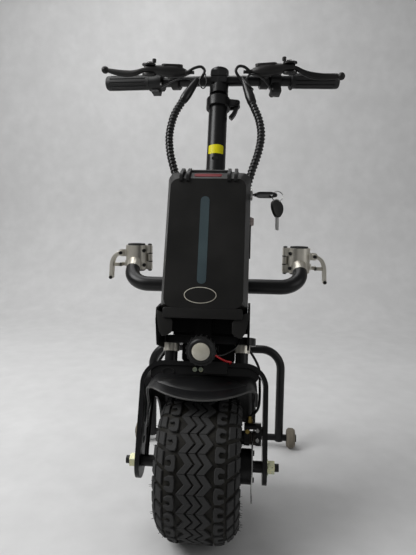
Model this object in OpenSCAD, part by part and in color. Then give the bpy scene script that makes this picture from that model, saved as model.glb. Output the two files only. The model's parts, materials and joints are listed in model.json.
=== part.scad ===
// Front drive unit that clamps to a wheelchair: one motor wheel, battery,
// handlebar, two frame clamps and a parking stand.
// Millimetres, +Z up, -Y to the front, origin on the ground under the axle.

/* [Wheel] */
// Outer diameter of the tyre
tyre_d = 254; // [244:2:264]
// Width of the tyre over the shoulder lugs
tyre_w = 146; // [136:2:150]
// Depth of the tread grooves
tread_depth = 5; // [3:0.5:7]
// Number of tread pitches round the tyre
tread_count = 24; // [18:1:30]
// Diameter of the rim at the bead seat
rim_d = 152; // [144:1:160]
// Width of the hub shell between its covers
hub_w = 76; // [70:1:84]
// Diameter of the threaded axle ends
axle_d = 14; // [12:0.5:16]
// Length of the axle over its ends
axle_len = 272; // [266:2:290]
// Diameter of the brake disc
disc_d = 120; // [112:2:126]
// Thickness of the brake disc
disc_t = 2; // [1.6:0.2:3]

/* [Fork] */
// Clear width between the fork legs
fork_gap = 214; // [210:2:226]
// Thickness of the fork plate
fork_t = 8; // [6:0.5:10]
// Width of the fork plate, front to back
fork_w = 60; // [52:2:68]
// Inner bend radius of the fork shoulders
fork_bend = 34; // [20:2:40]
// Gap between tyre and mudguard
guard_gap = 26; // [20:1:30]
// Thickness of the mudguard
guard_t = 3.5; // [2.5:0.5:5]
// Width of the mudguard
guard_w = 190; // [176:2:190]
// Diameter of the two fork pillars
pillar_d = 24; // [20:1:28]
// Height of the fork pillars
pillar_h = 33; // [26:1:45]
// Distance between the fork pillars
pillar_span = 132; // [120:2:140]

/* [Column] */
// Lean of the steering axis from the vertical
rake = 20; // [16:0.5:24]
// Distance of the steering axis behind the axle at axle height
axis_y = 30; // [24:1:36]
// Outer diameter of the steering column
column_d = 40; // [38:0.5:42]
// Outer diameter of the sliding handlebar stem
stem_d = 28.6; // [27:0.2:30]
// Height of the column's top end along the axis
column_top = 735; // [715:5:750]
// Height of the handlebar above the column's top end
bar_up = 43; // [40:1:60]
// Outer diameter of the steering head
head_d = 56; // [54:1:62]
// Length of the steering head
head_len = 110; // [90:5:125]
// Height of the steering head's lower end above the crown
head_up = 72; // [68:1:86]

/* [Handlebar] */
// Diameter of the handlebar tube
bar_d = 22.2; // [20:0.2:24]
// Distance of each bar knee from the middle
bar_knee = 50; // [44:1:60]
// Length of each bar side beyond its knee
bar_side_len = 213; // [205:1:230]
// Sweep of the bar sides towards the rider
bar_sweep = 10; // [0:1:14]
// Rise of the bar sides
bar_rise = 6; // [0:1:10]
// Diameter of the hand grips
grip_d = 33; // [30:1:36]
// Length of the hand grips
grip_len = 106; // [96:2:110]
// Downward tilt of the brake levers about the bar
lever_tilt = 24; // [10:1:30]

/* [Battery] */
// Width of the battery case
case_w = 150; // [140:2:156]
// Height of the battery case
case_h = 262; // [250:2:276]
// Depth of the rear half of the case
case_depth = 40; // [34:2:50]
// Depth of the front cover
cover_depth = 46; // [40:2:56]
// Wall thickness of the case and cover
case_wall = 3; // [2:0.5:4]
// Distance of the battery's back ahead of the steering axis
battery_back = 58; // [56:1:66]
// Thickness of the tray plates
tray_t = 4; // [3:0.5:5]

/* [Frame arms and clamps] */
// Diameter of the arm tubes
arm_d = 32; // [30:0.5:34]
// Wall thickness of the arm tubes
arm_wall = 3; // [2:0.5:4]
// Distance between the two clamp axes
clamp_span = 374; // [350:2:400]
// Distance of the arms behind the steering axis
arm_back = 84; // [78:1:92]
// Height of the arms above the steering head's lower end
arm_up = 51; // [46:1:59]
// Centre-line radius of the arm bends
arm_bend = 45; // [38:1:52]
// Upward slope of the arm ends
arm_slope = 35; // [25:1:45]
// Diameter of the wheelchair tube that the clamps hold
tube_d = 25.4; // [22:0.2:28]
// Thickness of the rubber clamp liners
liner_t = 4; // [3:0.5:5]
// Wall thickness of the clamp halves
clamp_wall = 8; // [7:0.5:10]
// Height of the clamp halves
clamp_h = 56; // [50:2:62]

/* [Parking stand] */
// Diameter of the stand tube
stand_d = 20; // [18:1:22]
// Distance between the stand legs
stand_span = 316; // [306:2:330]
// Centre-line radius of the stand bends
stand_bend = 48; // [36:2:60]
// Distance of the stand pivot behind the axle
stand_y = 345; // [335:1:355]
// Height of the stand pivot
stand_z = 243; // [236:1:250]
// Distance of the rollers ahead of the stand pivot
stand_lean = 10; // [4:1:16]
// Diameter of the stand rollers
roller_d = 48; // [42:1:54]
// Width of the stand rollers
roller_w = 20; // [16:1:24]

/* [Hidden] */
$fn = 48;
black = [0.07, 0.07, 0.08];
rubber = [0.10, 0.10, 0.10];
steel = [0.72, 0.73, 0.74];
alloy = [0.80, 0.80, 0.78];

// Radial clearance of pieces fixed to each other
fit = 0.05;
// Radial clearance of pieces that turn or slide in each other
run = 0.1;
// Clearance between pieces that move past each other
gap = 0.4;
// Overshoot of cutting shapes
over = 1;
// Size of half-space cutting blocks
huge = 400;

// Wheel and fork
tyre_r = tyre_d / 2;
rim_r = rim_d / 2;
rim_w = tyre_w - 26;
casing_t = 9;
shoulder_r = 36;
flange_t = 5;
flange_h = 9;
drum_r = 66;
cover_t = 5;
bearing_r = 21;
bearing_w = 12;
shaft_d = 20;
boss_r = 30;
disc_x = tyre_w / 2 + 15;
disc_bolts_r = 25.5;
bolt_d = 5;
nut_af = 22;
nut_h = 11;
washer_t = 2.5;
axle_cy = -axis_y * cos(rake);
axle_cz = -axis_y * sin(rake);
guard_in = tyre_r + guard_gap;
guard_out = guard_in + guard_t;
guard_lip = 40;
lip_r = 131;
guard_rear = 95;
guard_arc = 109;
pad_h = 13;
fork_z = axle_cz + guard_out + pad_h;
fork_top = fork_z + fork_t;
crown_z = fork_top + pillar_h;
crown_t = 14;
crown_r = 25.5;
collar_h = 14;

pad_t = 4;
pad_z = axle_cz + disc_d / 2 - 12;

// Column, handlebar controls and battery
tray_up = 25;
tray_z = crown_z + crown_t + tray_up;
cheek_z = crown_z - 10;
battery_z = tray_z + tray_t;
battery_top = battery_z + case_h;
battery_front = battery_back + case_depth + cover_depth;
battery_y = -battery_back - gap;
head_z = crown_z + crown_t + head_up;
head_top = head_z + head_len;
stem_in = 140;
bar_z = column_top + bar_up;
collar_up = 26;
lever_x = column_d / 2 + 20;
lever_r = 48;
grip_u = bar_side_len - grip_len;
pod_u = 60;
pod_len = 24;
pod_drop = 36;
pod_face = 16;
button_z = -24;
button_d = 9;
pivot_u = 92;
pivot_y = -46;
pivot_z = 18;
side_in = case_w / 2 + gap;
case_r = 16;
ear_x = 50;
ear_y = battery_y - case_depth / 2;
handle_len = 16;
lock_y = battery_y - case_depth / 2;
lock_z = battery_top - 25;
lock_d = 18;
cover_slope = 24;
cover_edge = 8;
cover_fall = 14;
key_x = 38;
ring_r = 10;
ring_wire = 1.8;
ring_drop = 2.6;
bead_r = 4.2;
bead_x = key_x + 8;
ring_x = bead_x + sqrt(pow(ring_r - ring_wire / 2 - bead_r - fit, 2) - pow(ring_drop, 2));
lamp_r = 24;
lens_r = 15;
lamp_z = crown_z + crown_t - 34;
cheek_h = 30;
bracket_h = 30;
bracket_z = head_top + 18;
back_w = 120;
gland_x = 62;
gland_y = -44;
gland_z = battery_top - 43;
gland_d = 24;
box_depth = 28;
box_z = crown_z + crown_t + gap;
box_top = head_z - 8;
calliper_top = axle_cz + disc_d / 2 + 14;

// Cable routes in the steering frame; the sleeves give their heights as shares of their rise
sleeve_rise = bar_z - 14 - gland_z;
sleeve_right = [
    [54, -26, 1], [62, -29, 0.9], [75, -33, 0.78], [88, -37, 0.66], [93, -40, 0.54],
    [88, -43, 0.41], [76, -44, 0.27], [66, -44, 0.14], [gland_x, gland_y, 0.06], [gland_x, gland_y, 0]
];
sleeve_left = [
    [46, -26, 1], [57, -29, 0.91], [74, -33, 0.81], [89, -37, 0.69], [95, -40, 0.54],
    [90, -43, 0.4], [78, -44, 0.26], [67, -44, 0.14], [gland_x, gland_y, 0.06], [gland_x, gland_y, 0]
];
motor_route = [
    [-100, axle_cy, axle_cz + shaft_d / 2 + fit], [-100, axle_cy, 20], [-101, -14, 76],
    [-101, 6, fork_z - 34], [-98, 15, fork_top - 2], [-80, 16, crown_z - 4], [-58, 6, crown_z + 26],
    [-42, -10, crown_z + 46], [-40, -18, box_top - 30],
    [-40, tray_t - battery_back + box_depth + fit, box_top - 30]
];
hose_route = [
    [84, axle_cy, calliper_top + fit], [84, axle_cy, calliper_top + 9], [99, -22, calliper_top + 28],
    [101, 4, fork_z - 24], [98, 15, fork_top - 2], [80, 16, crown_z - 4], [58, 6, crown_z + 26],
    [42, -10, crown_z + 46], [40, -18, box_top - 30],
    [40, tray_t - battery_back + box_depth + fit, box_top - 30]
];

// Arms, clamps and stand
arm_cz = head_z + arm_up;
arm_y = axis_y + arm_back * cos(rake) + arm_cz * sin(rake);
arm_z = tyre_r - arm_back * sin(rake) + arm_cz * cos(rake);
arm_stub = 4;
sleeve_d = arm_d + 10;
sleeve_len = 124;
liner_r = tube_d / 2 + liner_t;
clamp_r = liner_r + clamp_wall;
boss_reach = (clamp_r + arm_d / 2 * sin(arm_slope)) / cos(arm_slope);
clamp_reach = arm_bend + arm_stub + boss_reach;
clamp_y = arm_y + clamp_reach * cos(arm_slope);
clamp_z = arm_z + clamp_reach * sin(arm_slope);
hinge_pin_d = 6;
knuckle_d = 12;
hinge_x = clamp_r + knuckle_d / 2 + gap;
split = 0.5;
latch_z = 10;
latch_out = 8;
latch_flare = 8;
hanger_x = sleeve_len / 2 - 12;
foot_z = roller_d / 2;
roller_off = 9;
lean_angle = atan(stand_lean / (stand_z - foot_z));
leg_len = (stand_z - foot_z) / cos(lean_angle);

// A rectangle with round corners
module rounded(w, h, r) {
    square([w - 2 * r, h], center = true);
    square([w, h - 2 * r], center = true);
    for (x = [-1, 1], y = [-1, 1])
        translate([x * (w / 2 - r), y * (h / 2 - r)]) circle(r);
}

// A slot with round ends along the second axis
module slot(len, w) {
    square([w, len - w], center = true);
    for (s = [-1, 1]) translate([0, s * (len - w) / 2]) circle(d = w);
}

// A tube along +Z
module tube(d, bore, h) {
    difference() {
        cylinder(d = d, h = h);
        translate([0, 0, -over]) cylinder(d = bore, h = h + 2 * over);
    }
}

// Steering frame: origin on the steering axis at axle height, +Z along the axis
module on_column() translate([0, axis_y, tyre_r]) rotate([-rake, 0, 0]) children();

// Wheel frame: +Z along the axle to the right, first axis downwards
module on_wheel() translate([0, 0, tyre_r]) rotate([0, 90, 0]) children();

// Mirrors its children to the left for a negative side
module on_side(side) mirror([side < 0 ? 1 : 0, 0, 0]) children();

// Bar frame: +X along one bar side from its knee to its end
module on_bar(side)
    on_column() on_side(side) translate([bar_knee, 0, bar_z])
        rotate([0, 0, bar_sweep]) rotate([0, -bar_rise, 0]) children();

// Bar frame tilted to a brake lever
module on_lever(side) on_bar(side) rotate([lever_tilt, 0, 0]) children();

// A cylinder along +X
module along_x(d, len) rotate([0, 90, 0]) cylinder(d = d, h = len);

// Wheel

module tyre_half_plane(inset) {
    r0 = rim_r + fit;
    w0 = rim_w / 2 - inset - fit;
    w1 = tyre_w / 2 - inset;
    flare = 26;
    top = tyre_r - inset;
    intersection() {
        translate([rim_r, 0]) rounded(2 * (top - rim_r), 2 * w1, shoulder_r - inset);
        polygon([
            [r0, -w0], [r0 + flange_h, -w0], [r0 + flare, -w1], [top, -w1],
            [top, w1], [r0 + flare, w1], [r0 + flange_h, w0], [r0, w0]
        ]);
    }
}

module tread_groove() {
    zig = 5;
    cut_w = 6;
    steps = 6;
    half = tyre_w / 2 + over;
    line = [for (i = [0 : steps]) [(i % 2 == 0 ? -zig : zig), -half + 2 * half * i / steps]];
    side = [for (i = [steps : -1 : 0]) line[i] + [cut_w, 0]];
    translate([tyre_r - tread_depth, -cut_w / 2, 0]) rotate([90, 0, 90])
        linear_extrude(tread_depth + over) polygon(concat(line, side));
}

module tyre() color(rubber) on_wheel() difference() {
    rotate_extrude() difference() {
        tyre_half_plane(0);
        tyre_half_plane(casing_t);
    }
    for (i = [0 : tread_count - 1]) rotate([0, 0, i * 360 / tread_count]) tread_groove();
}

module hub_shell() color(black) on_wheel() rotate_extrude() {
    band_t = 7;
    web = 16;
    translate([rim_r - band_t, -rim_w / 2]) square([band_t, rim_w]);
    for (s = [-1, 1])
        translate([rim_r - band_t, s * (rim_w + flange_t) / 2 - flange_t / 2])
            square([band_t + flange_h, flange_t]);
    translate([drum_r - 8, -hub_w / 2]) square([8, hub_w]);
    translate([drum_r - 8, -web / 2]) square([rim_r - drum_r + 4, web]);
}

module hub_covers() color(black) on_wheel() for (s = [-1, 1]) mirror([0, 0, s < 0 ? 1 : 0])
    difference() {
        boss_end = s > 0 ? disc_x : hub_w / 2 + bearing_w;
        union() {
            translate([0, 0, hub_w / 2]) cylinder(r = drum_r, h = cover_t);
            translate([0, 0, hub_w / 2]) cylinder(r = boss_r, h = boss_end - hub_w / 2);
        }
        translate([0, 0, hub_w / 2 - over]) cylinder(r = bearing_r, h = huge);
        if (s > 0) for (i = [0 : 5]) rotate([0, 0, 60 * i])
            translate([disc_bolts_r, 0, disc_x - 12]) cylinder(d = bolt_d + 2 * fit, h = 12 + over);
    }

module wheel_bearings() color(steel) on_wheel() for (s = [-1, 1]) mirror([0, 0, s < 0 ? 1 : 0])
    translate([0, 0, hub_w / 2]) tube(2 * (bearing_r - fit), shaft_d + 2 * run, bearing_w);

module motor_stator() color("peru") on_wheel() translate([0, 0, -hub_w / 4])
    tube(2 * (drum_r - 8 - gap), shaft_d + 2 * fit, hub_w / 2);

module axle() color(steel) on_wheel() difference() {
    union() {
        translate([0, 0, -axle_len / 2]) cylinder(d = axle_d, h = axle_len);
        translate([0, 0, -fork_gap / 2]) cylinder(d = shaft_d, h = fork_gap);
    }
    for (s = [-1, 1]) translate([0, 0, s * axle_len / 2]) rotate([s > 0 ? 180 : 0, 0, 0])
        cylinder(d1 = axle_d / 2, d2 = 0, h = axle_d / 4);
}

// Nut with its washer, standing on the fork leg's outer face
module axle_nut() {
    tube(2 * nut_af * 0.62, axle_d + 2 * fit, washer_t);
    translate([0, 0, washer_t]) difference() {
        cylinder(d = nut_af / cos(30), h = nut_h, $fn = 6);
        translate([0, 0, -over]) cylinder(d = axle_d + 2 * fit, h = nut_h + 2 * over);
    }
}

module axle_nuts() color(alloy) on_wheel() for (s = [-1, 1]) mirror([0, 0, s < 0 ? 1 : 0])
    translate([0, 0, fork_gap / 2 + fork_t]) axle_nut();

module brake_disc() color(steel) on_wheel() translate([0, 0, disc_x]) difference() {
    tube(disc_d, 2 * bearing_r, disc_t);
    for (i = [0 : 5]) rotate([0, 0, 60 * i]) {
        translate([disc_bolts_r, 0, -over]) cylinder(d = bolt_d + 2 * fit, h = disc_t + 2 * over);
        rotate([0, 0, 30]) translate([0.66 * disc_d / 2, 0, -over])
            cylinder(d = 13, h = disc_t + 2 * over);
        translate([0.78 * disc_d / 2, 0, -over]) cylinder(d = 8, h = disc_t + 2 * over);
    }
}

module disc_bolts() color(steel) on_wheel() for (i = [0 : 5]) rotate([0, 0, 60 * i])
    translate([disc_bolts_r, 0, disc_x - 10]) {
        cylinder(d = bolt_d, h = 10 + disc_t);
        translate([0, 0, 10 + disc_t]) cylinder(d = 1.7 * bolt_d, h = 3);
    }

module brake_calliper() color(black) on_column() {
    body = [30, 40, 38];
    mid = disc_x + disc_t / 2;
    slot_w = disc_t + 2 * (pad_t + gap);
    top = calliper_top;
    difference() {
        union() {
            translate([mid - body[0] / 2, axle_cy, top - body[2] / 2]) rotate([90, 0, 90])
                linear_extrude(body[0]) rounded(body[1], body[2], 8);
            for (s = [-1, 1]) translate([mid, axle_cy + s * 12, top - 14])
                along_x(14, fork_gap / 2 - mid);
            translate([mid - body[0] / 2 - 6, axle_cy, pad_z]) along_x(24, 10);
        }
        translate([mid - slot_w / 2, axle_cy - body[1], top - 10 - huge])
            cube([slot_w, 2 * body[1], huge]);
    }
}

module brake_pads() color("dimgray") on_column() for (s = [-1, 1]) {
    face = disc_x + disc_t / 2 + s * (disc_t / 2 + gap + pad_t / 2);
    translate([face - pad_t / 2, axle_cy, pad_z]) rotate([90, 0, 90])
        linear_extrude(pad_t) rounded(30, 22, 5);
}

// Fork, mudguard and crown

// Front outline of the fork's arch, filled
module arch(w, r, top) {
    foot = axle_cz - fork_w;
    translate([-w / 2, foot]) square([w, top - r - foot]);
    translate([r - w / 2, foot]) square([w - 2 * r, top - foot]);
    for (s = [-1, 1]) translate([s * (w / 2 - r), top - r]) circle(r);
}

// Side outline of the fork leg
module fork_side() {
    translate([axle_cy - fork_w / 2, axle_cz]) square([fork_w, fork_top - axle_cz + over]);
    translate([axle_cy, axle_cz]) circle(d = fork_w);
}

module fork() color(black) on_column() difference() {
    intersection() {
        translate([0, axle_cy + fork_w / 2, 0]) rotate([90, 0, 0]) linear_extrude(fork_w) difference() {
            arch(fork_gap + 2 * fork_t, fork_bend + fork_t, fork_top);
            arch(fork_gap, fork_bend, fork_z);
        }
        translate([-huge / 2, 0, 0]) rotate([90, 0, 90]) linear_extrude(huge) fork_side();
    }
    translate([-huge / 2, axle_cy, axle_cz]) along_x(axle_d + 2 * fit, huge);
    translate([-huge / 2, axle_cy, axle_cz + 92]) rotate([90, 0, 90]) linear_extrude(huge) slot(62, 16);
    translate([-huge / 2, axle_cy, axle_cz + 36]) along_x(14, huge);
}

module mudguard() color(black) {
    on_wheel() difference() {
        rotate([0, 0, guard_rear]) rotate_extrude(angle = guard_arc) intersection() {
            difference() {
                translate([guard_out - 40, 0]) rounded(80, guard_w, 18);
                translate([guard_in - 40, 0]) rounded(80, guard_w - 2 * guard_t, 18 - guard_t);
            }
            translate([guard_in - guard_lip, -guard_w]) square([2 * guard_lip, 2 * guard_w]);
        }
        rotate([0, 0, guard_rear + guard_arc]) translate([guard_in - 60, 0, 0]) difference() {
            translate([0, -50, -guard_w]) cube([100, 100, 2 * guard_w]);
            translate([-over, -lip_r, 0]) along_x(2 * lip_r, 100 + 2 * over);
        }
    }
    on_column() translate([-30, axle_cy - 20, fork_z - pad_h - 1]) cube([60, 40, pad_h + 1]);
}

module fork_pillars() color(black) on_column() for (s = [-1, 1])
    translate([s * pillar_span / 2, axle_cy, fork_top]) cylinder(d = pillar_d, h = pillar_h);

module pillar_collars() color(alloy) on_column() for (s = [-1, 1])
    translate([s * pillar_span / 2, axle_cy, crown_z - collar_h])
        tube(pillar_d + 6, pillar_d + 2 * fit, collar_h);

module fork_crown() color(black) on_column() translate([0, 0, crown_z]) difference() {
    linear_extrude(crown_t) {
        translate([0, axle_cy]) square([pillar_span, 2 * crown_r], center = true);
        for (s = [-1, 1]) translate([s * pillar_span / 2, axle_cy]) circle(crown_r);
        circle(column_d / 2 + 12);
    }
    translate([0, 0, -over]) cylinder(d = column_d + 2 * fit, h = crown_t + 2 * over);
}

// Steering column and its height lock

module steering_column() color(black) on_column() difference() {
    translate([0, 0, crown_z]) tube(column_d, stem_d + 2 * run, column_top - crown_z);
    translate([-1.5, 0, column_top - 40]) cube([3, column_d, 40 + over]);
}

module height_collar() color(black) on_column() translate([0, 0, column_top - collar_up]) {
    difference() {
        union() {
            cylinder(d = column_d + 12, h = 22);
            translate([0, -9, 0]) cube([lever_x + 7, 18, 22]);
        }
        translate([0, 0, -over]) cylinder(d = column_d + 2 * fit, h = 22 + 2 * over);
        translate([-1.5, 0, -over]) cube([3, column_d, 22 + 2 * over]);
        translate([lever_x - 8, -4.6 - gap, -over]) cube([40, 9.2 + 2 * gap, 22 + 2 * over]);
        translate([lever_x, 10, 11]) rotate([90, 0, 0]) cylinder(d = 5 + 2 * fit, h = 20);
    }
    translate([lever_x, 9, 11]) rotate([90, 0, 0]) cylinder(d = 5, h = 18);
}

module height_lever() color(black) on_column() translate([lever_x, 4.6, column_top - collar_up + 11])
    rotate([90, 0, 0]) difference() {
        union() {
            cylinder(d = 13, h = 9.2);
            translate([-lever_r, 0, 0]) rotate([0, 0, -44]) rotate_extrude(angle = 44)
                translate([lever_r - 4, 0]) square([8, 9.2]);
        }
        translate([0, 0, -over]) cylinder(d = 5 + 2 * run, h = 12);
    }

// Handlebar and its controls

module bar_stem() color(black) on_column() translate([0, 0, column_top - stem_in])
    tube(stem_d, stem_d - 6, bar_z - bar_d / 2 - 5 - column_top + stem_in);

module stem_head() color(black) on_column() difference() {
    union() {
        translate([0, 0, bar_z - 36]) cylinder(d = stem_d + 12, h = 58);
        translate([-17, -bar_d / 2 - 9, bar_z - 15]) cube([34, bar_d / 2 + 9, 30]);
    }
    translate([0, 0, bar_z - 36 - over]) cylinder(d = stem_d + 2 * fit, h = 36 + over - bar_d / 2 - 5);
    translate([-30, 0, bar_z]) along_x(bar_d + 2 * fit, 60);
    translate([-30, -huge - 2, bar_z - 0.75]) cube([60, huge, 1.5]);
}

module bar_shape(d, extra) {
    on_column() translate([-bar_knee, 0, bar_z]) along_x(d, 2 * bar_knee);
    for (s = [-1, 1]) on_bar(s) {
        sphere(d = d);
        along_x(d, bar_side_len + extra);
    }
}

module handlebar() color(black) difference() {
    bar_shape(bar_d, 0);
    bar_shape(bar_d - 4, over);
}

// Hand grip with an end flange, bored for the bar
module grip(clearance) difference() {
    union() {
        translate([grip_u, 0, 0]) along_x(grip_d, grip_len + 4);
        translate([grip_u, 0, 0]) along_x(grip_d + 5, 4);
    }
    translate([grip_u - over, 0, 0]) along_x(bar_d + 2 * clearance, grip_len + gap + over);
}

module throttle_grip() color(rubber) on_bar(-1) grip(run);

module hand_grip() color(rubber) on_bar(1) grip(fit);

module throttle_housing() color(black) on_bar(-1) translate([grip_u - gap - 28, 0, 0]) difference() {
    union() {
        along_x(grip_d + 7, 28);
        translate([6, -4, -grip_d / 2 - 9]) cube([18, 18, 18]);
    }
    translate([-over, 0, 0]) along_x(bar_d + 2 * fit, 28 + 2 * over);
}

module switch_pod() color(black) on_bar(1) difference() {
    union() {
        translate([pod_u, 0, 0]) along_x(bar_d + 13, pod_len);
        translate([pod_u, -14, -pod_drop]) cube([pod_len, 14 + pod_face, pod_drop - 6]);
    }
    translate([pod_u - over, 0, 0]) along_x(bar_d + 2 * fit, pod_len + 2 * over);
    translate([pod_u + 7, pod_face + over, button_z]) rotate([90, 0, 0])
        cylinder(d = button_d + 2 * gap, h = 8 + over);
    translate([pod_u + 13, pod_face - 3, button_z - 3.4]) cube([10, 3 + over, 6.8]);
}

module horn_button() color("firebrick") on_bar(1)
    translate([pod_u + 7, pod_face + 2.5, button_z]) rotate([90, 0, 0]) cylinder(d = button_d, h = 6);

module light_switch() color("dimgray") on_bar(1) {
    translate([pod_u + 15, pod_face - 2.7, button_z - 3]) cube([4, 5.2, 6]);
}

module lever_mount() {
    difference() {
        union() {
            translate([38, 0, 0]) along_x(bar_d + 12, 18);
            translate([40, pivot_y, pivot_z - 12]) cube([14, -pivot_y - 4, 14]);
            hull() {
                translate([70, pivot_y - 12, pivot_z - 13]) cube([8, 24, 26]);
                translate([18, pivot_y / 2 - 2, pivot_z - 4]) sphere(9, $fn = 32);
            }
            for (s = [-1, 1]) translate([0, 0, pivot_z + s * 8.6 - 3.4]) {
                translate([76, pivot_y - 8, 0]) cube([pivot_u - 76, 16, 6.8]);
                translate([pivot_u, pivot_y, 0]) cylinder(r = 8, h = 6.8);
            }
        }
        translate([38 - over, 0, 0]) along_x(bar_d + 2 * fit, 18 + 2 * over);
        translate([pivot_u, pivot_y, pivot_z - 20]) cylinder(d = 6 + 2 * fit, h = 40);
    }
    translate([pivot_u, pivot_y, pivot_z - 12]) cylinder(d = 6, h = 24);
}

module lever_mounts() color(black) for (s = [-1, 1]) on_lever(s) lever_mount();

module brake_lever() {
    tip = [bar_side_len - 13, pivot_y - 16, pivot_z];
    bow = [pivot_u + 50, pivot_y - 7, pivot_z];
    h = 9.6;
    difference() {
        union() {
            translate([pivot_u, pivot_y, pivot_z - h / 2]) cylinder(r = 7.5, h = h);
            hull() {
                translate([pivot_u + 12, pivot_y - 1, pivot_z - h / 2]) cylinder(r = 5, h = h, $fn = 32);
                translate(bow - [0, 0, h / 2]) cylinder(r = 7, h = h, $fn = 32);
            }
            translate([pivot_u, pivot_y - 6, pivot_z - h / 2]) cube([14, 10, h]);
            hull() {
                translate(bow - [0, 0, h / 2]) cylinder(r = 7, h = h, $fn = 32);
                translate(tip - [0, 0, h / 2]) cylinder(r = 4, h = h, $fn = 32);
            }
            translate(tip) sphere(d = 16);
        }
        translate([pivot_u, pivot_y, pivot_z - h]) cylinder(d = 6 + 2 * run, h = 2 * h);
    }
}

module brake_lever_left() color(black) on_lever(-1) brake_lever();

module brake_lever_right() color(black) on_lever(1) brake_lever();

// Cables

// Smooth curve through the points of a route, with a number of steps between each pair
function route_point(p, i, t) =
    let (a = p[max(i - 1, 0)], b = p[i], c = p[i + 1], d = p[min(i + 2, len(p) - 1)])
    b + (c - a) * t / 2 + (2 * a - 5 * b + 4 * c - d) * t * t / 2 + (3 * b - a - 3 * c + d) * t * t * t / 2;
function curve(p, steps) = concat(
    [for (i = [0 : len(p) - 2], k = [0 : steps - 1]) route_point(p, i, k / steps)], [p[len(p) - 1]]);
function heading(c, i) =
    let (v = c[min(i + 1, len(c) - 1)] - c[max(i - 1, 0)]) v / norm(v);

// One ring of points across a route, with a helical rib of the given height
function cable_ring(c, i, r, rib, turn, sides) =
    let (t = heading(c, i), u = cross(t, [0, 1, 0]) / norm(cross(t, [0, 1, 0])), v = cross(t, u))
    [for (j = [0 : sides - 1])
        let (a = 360 * j / sides, low = rib * (0.5 - 0.5 * cos(360 * i / turn - a)))
        c[i] + (r - low) * (cos(a) * u + sin(a) * v)];

module cable(points, steps, r, rib = 0, turn = 4, sides = 8) {
    c = curve(points, steps);
    n = len(c);
    wall = [for (i = [0 : n - 2], j = [0 : sides - 1])
        let (a = i * sides + j, b = i * sides + (j + 1) % sides)
        each [[a, b, b + sides], [a, b + sides, a + sides]]];
    start = [for (j = [1 : sides - 2]) [0, j + 1, j]];
    last = (n - 1) * sides;
    end = [for (j = [1 : sides - 2]) [last, last + j, last + j + 1]];
    polyhedron(
        [for (i = [0 : n - 1]) each cable_ring(c, i, r, rib, turn, sides)],
        concat(wall, start, end));
}

module cable_sleeves() color(rubber) on_column() {
    for (s = [-1, 1]) on_side(s) translate([0, 0, gland_z + fit])
        cable(
            [for (p = s < 0 ? sleeve_left : sleeve_right) [p[0], p[1], p[2] * sleeve_rise]],
            14, 9, rib = 2);
}

module wheel_cables() color(rubber) on_column() {
    cable(motor_route, 4, 4);
    cable(hose_route, 4, 2.5);
}

// Battery and its tray

module battery_tray() color(black) on_column() difference() {
    union() {
        translate([-side_in - tray_t, 6 - battery_front, tray_z])
            cube([2 * (side_in + tray_t), battery_front - 6 + tray_t - battery_back, tray_t]);
        translate([-side_in, 34 - battery_front, crown_z + crown_t])
            cube([2 * side_in, tray_t, tray_up]);
        translate([-back_w / 2, -battery_back, crown_z + crown_t])
            cube([back_w, tray_t, gland_z + 20 - crown_z - crown_t]);
        for (s = [-1, 1]) on_side(s) translate([side_in, 0, 0]) rotate([90, 0, 90]) linear_extrude(tray_t)
            polygon([
                [tray_t - battery_back, cheek_z], [tray_t - battery_back, battery_z + cheek_h],
                [-battery_back - 20, battery_z + cheek_h], [6 - battery_front, battery_z + 8],
                [6 - battery_front, tray_z - 8], [30 - battery_front, cheek_z]
            ]);
        translate([0, 0, bracket_z]) cylinder(d = column_d + 14, h = bracket_h);
        translate([-20, -battery_back, bracket_z]) cube([40, battery_back - 12, bracket_h]);
        for (s = [-1, 1]) on_side(s) {
            translate([back_w / 2 - 4, -battery_back, gland_z - 24])
                cube([gland_x - back_w / 2 + 4, tray_t, 24]);
            translate([gland_x, gland_y, gland_z - 24]) cylinder(d = gland_d, h = 24);
        }
    }
    translate([0, 0, bracket_z - over]) cylinder(d = column_d + 2 * fit, h = bracket_h + 2 * over);
}

module battery_case() color(black) on_column() difference() {
    union() {
        translate([0, battery_y, battery_z + case_h / 2]) rotate([90, 0, 0]) linear_extrude(case_depth)
            rounded(case_w, case_h, case_r);
        for (s = [-1, 1]) translate([s * ear_x, ear_y, battery_top - 2]) {
            translate([-5, -9, 0]) cube([10, 18, 11]);
            translate([-5, 0, 11]) along_x(18, 10);
        }
    }
    translate([0, battery_y - case_wall, battery_z + case_h / 2]) rotate([90, 0, 0])
        linear_extrude(case_depth)
            rounded(case_w - 2 * case_wall, case_h - 2 * case_wall, case_r - case_wall);
    for (s = [-1, 1]) translate([s * ear_x - 6, ear_y, battery_top + 9]) along_x(5 + 2 * run, 12);
    translate([case_w / 2 - 10, lock_y, lock_z]) along_x(lock_d + 2 * fit, 20);
}

// Front cover as a block with sloping edges, the upper one the tallest
module cover_block(inset, depth) hull() {
    face_w = case_w - 2 * inset - 2 * cover_edge;
    face_h = case_h - 2 * inset - 2 * cover_edge - cover_fall;
    rotate([90, 0, 0]) linear_extrude(depth - cover_slope)
        rounded(case_w - 2 * inset, case_h - 2 * inset, case_r - inset, $fn = 32);
    translate([0, 0, -cover_fall / 2]) rotate([90, 0, 0]) linear_extrude(depth)
        rounded(face_w, face_h, case_r - inset, $fn = 32);
}

module battery_cover() color(black) on_column()
    translate([0, battery_y - case_depth, battery_z + case_h / 2]) difference() {
        cover_block(0, cover_depth);
        translate([0, over, 0]) cover_block(case_wall, cover_depth + over - case_wall);
    }

module cell_pack() color("royalblue") on_column()
    translate([-case_w / 2 + 12, battery_y - case_wall - gap - 62, battery_z + case_wall + 10])
        cube([case_w - 24, 62, 0.78 * case_h]);

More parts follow.
